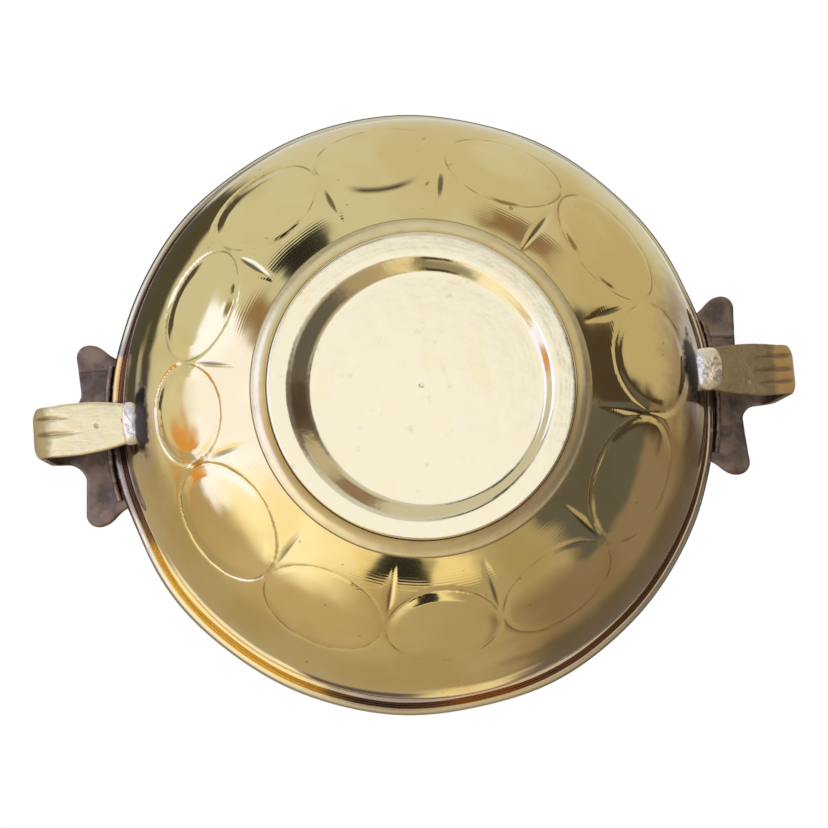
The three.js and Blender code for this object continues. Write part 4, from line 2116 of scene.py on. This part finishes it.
def ruffle(loom: Loom, geometry: NodeSocket, scale: float, ripple: float) -> NodeSocket:
    """Moves a surface in and out by seeded noise.

    Args:
        loom: The tree.
        geometry: The surface.
        scale: How fine the noise is, in waves per metre.
        ripple: How far it moves the surface, in millimetres.

    Returns:
        The moved surface.
    """
    waves = loom.given(loom.clouds(loom.step("InputPosition").outputs[0], scale, 3.0))
    rise = (waves - 0.5) * 2.0 * loom.number("Ripple", ripple * MM)
    step = loom.stretch(loom.step("InputNormal").outputs[0], rise)
    return loom.step("SetPosition", Geometry=geometry, Offset=step).outputs[0]


# Studio


@dataclass(frozen=True)
class Card:
    """A patch of light or shade round the bowl that the polished brass mirrors.

    Attributes:
        tilt: From and to, in degrees from straight down.
        bearing: From and to round the picture, in degrees counter-clockwise from its right.
        tone: Its light.
        soft: Width of its soft edge in degrees.
        slant: How many degrees its bearing shifts for each degree of tilt.
        spread: How much wider the soft edge is along the bearing.
    """

    tilt: Span
    bearing: Span
    tone: Colour
    soft: float = 3.0
    slant: float = 0.0
    spread: float = 1.5

    def cover(self, tilt: Number, bearing: Number) -> Number:
        """Works out how much of the card lies in a direction.

        Args:
            tilt: The direction's tilt.
            bearing: The direction's bearing.

        Returns:
            The share.
        """
        low, high = self.tilt
        tall = tilt.fade(low - self.soft, low + self.soft) * tilt.fade(high + self.soft, high - self.soft)
        middle, half = sum(self.bearing) / 2, (self.bearing[1] - self.bearing[0]) / 2
        if half >= 180:
            return tall
        shift, soft = (tilt - (low + high) / 2) * self.slant + middle, self.soft * self.spread
        return tall * abs((bearing - shift).apply("WRAP", 180.0, -180.0)).fade(half + soft, half - soft)


@dataclass
class ReadyGraph(Graph):
    """A node tree that Blender has made with a material or a world."""

    tree: NodeTree


@dataclass
class Studio:
    """The camera, the floor, the lamp and what surrounds the bowl."""

    eye: Vector = field(default_factory=lambda: Vector((-19.494, 50.570, -374.0)))
    target: Vector = field(default_factory=lambda: Vector((-1.294, 3.764, 23.0)))
    upright: Vector = field(default_factory=lambda: Vector((0.08472, -0.99640, 0.0)))
    lens: float = 74.58
    sensor: float = 36.0
    sight: Span = (0.01, 100.0)
    picture_turn: float = 4.86
    upper: Colour = (0.67, 0.66, 0.62)
    lower: Colour = (0.45, 0.37, 0.27)
    fill: Colour = (0.9, 0.9, 0.9)
    backdrop: Colour = (1.0, 1.0, 1.0)
    floor_tone: Colour = (0.86, 0.86, 0.85)
    floor_roughness: float = 0.9
    floor_size: float = 4.0
    floor_gap: float = 0.2
    lamp_size: float = 0.8
    lamp_power: float = 6.0
    lamp_place: Vector = field(default_factory=lambda: Vector((-0.5, -0.5, 1.2)))
    stir: float = 7.0
    stir_reach: float = 9.0
    stir_aside: float = 1.5
    room_edge: Span = (-0.06, 0.14)
    cards: tuple[Card, ...] = (
        Card((25, 115), (-6, 58), (0.58, 0.52, 0.42), 14),
        Card((28, 90), (205, 262), (0.58, 0.47, 0.34), 16),
        Card((13, 36), (228, 296), (1.0, 0.86, 0.60), 6),
        Card((62, 114), (-62, 3), (0.27, 0.205, 0.17), 7),
        Card((108, 176), (-64, 8), (0.15, 0.118, 0.108), 7),
        Card((22, 68), (-38, 8), (0.12, 0.115, 0.12), 2.5, -0.15),
        Card((22, 52), (7, 35), (0.07, 0.05, 0.04), 1.5, -0.45),
        Card((46, 80), (-1, 10), (0.07, 0.05, 0.04), 1.5, -0.28),
        Card((13.5, 28), (12, 46), (0.13, 0.10, 0.085), 3),
        Card((14, 66), (147, 206), (1.15, 1.25, 2.0), 1.2),
        Card((14, 56), (198, 246), (1.15, 1.08, 0.98), 8),
        Card((66, 100), (168, 190), (0.78, 0.74, 0.66), 8),
        Card((27, 46), (112, 130), (0.02, 0.02, 0.025), 1),
        Card((17, 30), (92, 114), (0.03, 0.03, 0.02), 1),
        Card((24, 40), (137, 147), (0.30, 0.20, 0.13), 2),
        Card((38, 51), (50, 71), (0.28, 0.19, 0.14), 2),
        Card((16, 34), (257, 280), (0.02, 0.02, 0.02), 1),
        Card((60, 78), (180, 192), (0.75, 0.36, 0.10), 2),
        Card((78, 88), (190, 200), (0.62, 0.36, 0.16), 3),
        Card((106, 172), (122, 182), (0.085, 0.077, 0.065), 2),
        Card((117, 126), (160, 173), (0.45, 0.44, 0.36), 2.5),
        Card((152, 168), (24, 52), (0.9, 0.9, 0.9), 4),
        Card((146, 168), (62, 118), (0.70, 0.73, 0.76), 8),
        Card((148, 168), (204, 248), (1.0, 0.90, 0.72), 2),
        Card((146, 168), (248, 274), (0.12, 0.095, 0.105), 3),
        Card((136, 166), (276, 298), (0.85, 0.72, 0.48), 3),
        Card((0, 13), (-180, 180), (1.03, 1.02, 1.0), 1.5),
    )

    def build(self) -> None:
        """Sets up everything that isn't part of the bowl."""
        self._stand_camera()
        self._lay_floor()
        self._hang_lamp()
        self._surround()
        bpy.context.scene.view_settings.view_transform = "Standard"

    def _stand_camera(self) -> None:
        """Stands the camera where the photograph was taken from."""
        lens = bpy.data.cameras.new("eye")
        lens.lens, lens.sensor_width = self.lens, self.sensor
        lens.clip_start, lens.clip_end = self.sight
        camera = bpy.data.objects.new("eye", lens)
        ahead = (self.target - self.eye).normalized()
        right = ahead.cross(self.upright).normalized()
        turn = Matrix((right, right.cross(ahead), -ahead)).transposed()
        camera.rotation_mode = "QUATERNION"
        camera.rotation_quaternion = turn.to_quaternion()
        camera.location = self.eye * MM
        bpy.context.scene.collection.objects.link(camera)
        bpy.context.scene.camera = camera

    def _lay_floor(self) -> None:
        """Lays a pale floor under the foot that hides nothing from a camera below it."""
        half = self.floor_size / 2
        mesh = bpy.data.meshes.new("floor")
        corners = [(-half, -half, 0), (half, -half, 0), (half, half, 0), (-half, half, 0)]
        mesh.from_pydata(corners, [], [(0, 1, 2, 3)])
        material = bpy.data.materials.new("pale_floor")
        material.use_nodes = True
        graph = ReadyGraph(material.node_tree)
        shader = graph.tree.nodes["Principled BSDF"]
        shader.inputs["Base Color"].default_value = (*self.floor_tone, 1.0)
        shader.inputs["Roughness"].default_value = self.floor_roughness
        side, clear = graph.node("ShaderNodeNewGeometry"), graph.node("ShaderNodeBsdfTransparent")
        choice = graph.node("ShaderNodeMixShader", Fac=side.outputs["Backfacing"])
        graph.tree.links.new(shader.outputs[0], choice.inputs[1])
        graph.tree.links.new(clear.outputs[0], choice.inputs[2])
        graph.tree.links.new(choice.outputs[0], graph.tree.nodes["Material Output"].inputs["Surface"])
        mesh.materials.append(material)
        floor = bpy.data.objects.new("floor", mesh)
        floor.location.z = -self.floor_gap * MM
        floor.visible_glossy = floor.visible_transmission = floor.visible_diffuse = False
        floor.visible_shadow = False
        bpy.context.scene.collection.objects.link(floor)

    def _hang_lamp(self) -> None:
        """Hangs one broad soft lamp that the brass doesn't mirror."""
        lamp = bpy.data.lights.new("soft_lamp", "AREA")
        lamp.shape, lamp.size, lamp.energy = "DISK", self.lamp_size, self.lamp_power
        holder = bpy.data.objects.new("soft_lamp", lamp)
        holder.location = self.lamp_place
        holder.rotation_euler = (-holder.location).to_track_quat("-Z", "Y").to_euler()
        holder.visible_glossy = False
        bpy.context.scene.collection.objects.link(holder)

    def _surround(self) -> None:
        """Surrounds the bowl with white for the eye and with soft cards for the brass."""
        world = bpy.data.worlds.new("surround")
        world.use_nodes = True
        bpy.context.scene.world = world
        sky = ReadyGraph(world.node_tree)
        spot = sky.node("ShaderNodeTexCoord").outputs["Generated"]
        x, y, z = sky.split(spot)
        waves = sky.node("ShaderNodeSeparateColor", Color=sky.clouds(spot, self.stir, 2.0).outputs["Color"])
        away, aside = ((sky.given(waves, i) - 0.5) * self.stir_reach for i in (0, 1))
        tilt = (z * -1.0).apply("ARCCOSINE") * DEGREES + away
        bearing = self.picture_turn - y.apply("ARCTAN2", x) * DEGREES + aside * self.stir_aside
        upright = x * self.upright.x + y * self.upright.y
        seen = sky.blend(upright.fade(*self.room_edge), self.lower, self.upper)
        seen = sky.layer(seen, *((card.cover(tilt, bearing), card.tone) for card in self.cards))
        rays = sky.node("ShaderNodeLightPath")
        plain = sky.blend(sky.given(rays, "Is Camera Ray"), self.fill, self.backdrop)
        mirrored = sky.given(rays, "Is Glossy Ray").most(sky.given(rays, "Is Transmission Ray"))
        feed(sky.tree, sky.tree.nodes["Background"].inputs["Color"], sky.blend(mirrored, plain, seen))


def left_handle() -> Handle:
    """The left handle, filed pale, as it was bent and worn."""
    wear = HandleWear(
        strap=(0.98, 0.87, 0.54),
        crease=-15.2,
        ridge=-1.0,
        pit=(-75.0, 0.5),
        gilt=(0.37, 0.26, 0.09),
        gilt_from=86.2,
        streaks=0.3,
    )
    return Handle(
        Side.LEFT,
        neck=11.8,
        root_lean=-0.2,
        bend_lean=-1.05,
        tip_lean=-0.4,
        tip_standoff=0.1,
        wear=wear,
        flutes=(Flute(2.1, 80.0, 0.6), Flute(-1.65, 77.5, 0.75)),
    )


def right_handle() -> Handle:
    """The right handle, darker and streaked, as it was bent and worn."""
    wear = HandleWear(
        strap=(0.33, 0.245, 0.13),
        crease=-12.6,
        ridge=1.0,
        pit=(78.0, 2.6),
        gilt=(0.42, 0.24, 0.065),
        gilt_from=84.6,
        streaks=1.6,
    )
    return Handle(
        Side.RIGHT,
        neck=10.2,
        root_lean=-0.7,
        bend_lean=-0.05,
        tip_lean=-1.6,
        tip_standoff=0.4,
        wear=wear,
        flutes=(Flute(-3.2, 80.0, 0.85), Flute(0.0, 79.0, 0.9), Flute(2.9, 80.3, 0.75)),
    )


def main() -> None:
    """Loads the frame, then builds and dresses every piece and its studio."""
    logging.basicConfig(level=logging.INFO, format="%(name)s: %(message)s")
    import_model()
    bowl, foot = Bowl(), Foot()
    lumps = (
        SolderLump(Side.LEFT, reach=2.1, lean=-0.4, haze=0.15, silver=0.9),
        SolderLump(Side.RIGHT, reach=3.7, lean=-1.6, haze=0.8, silver=-0.9),
    )
    bowl.build([lump.burn(bowl) for lump in lumps])
    foot.build()
    foot.build_cove(bowl)
    for handle in left_handle(), right_handle():
        handle.build(bowl)
    for side in Side:
        SolderSeam(side).build()
    for lump in lumps:
        lump.build(bowl)
    Studio().build()


if __name__ == "__main__":
    main()
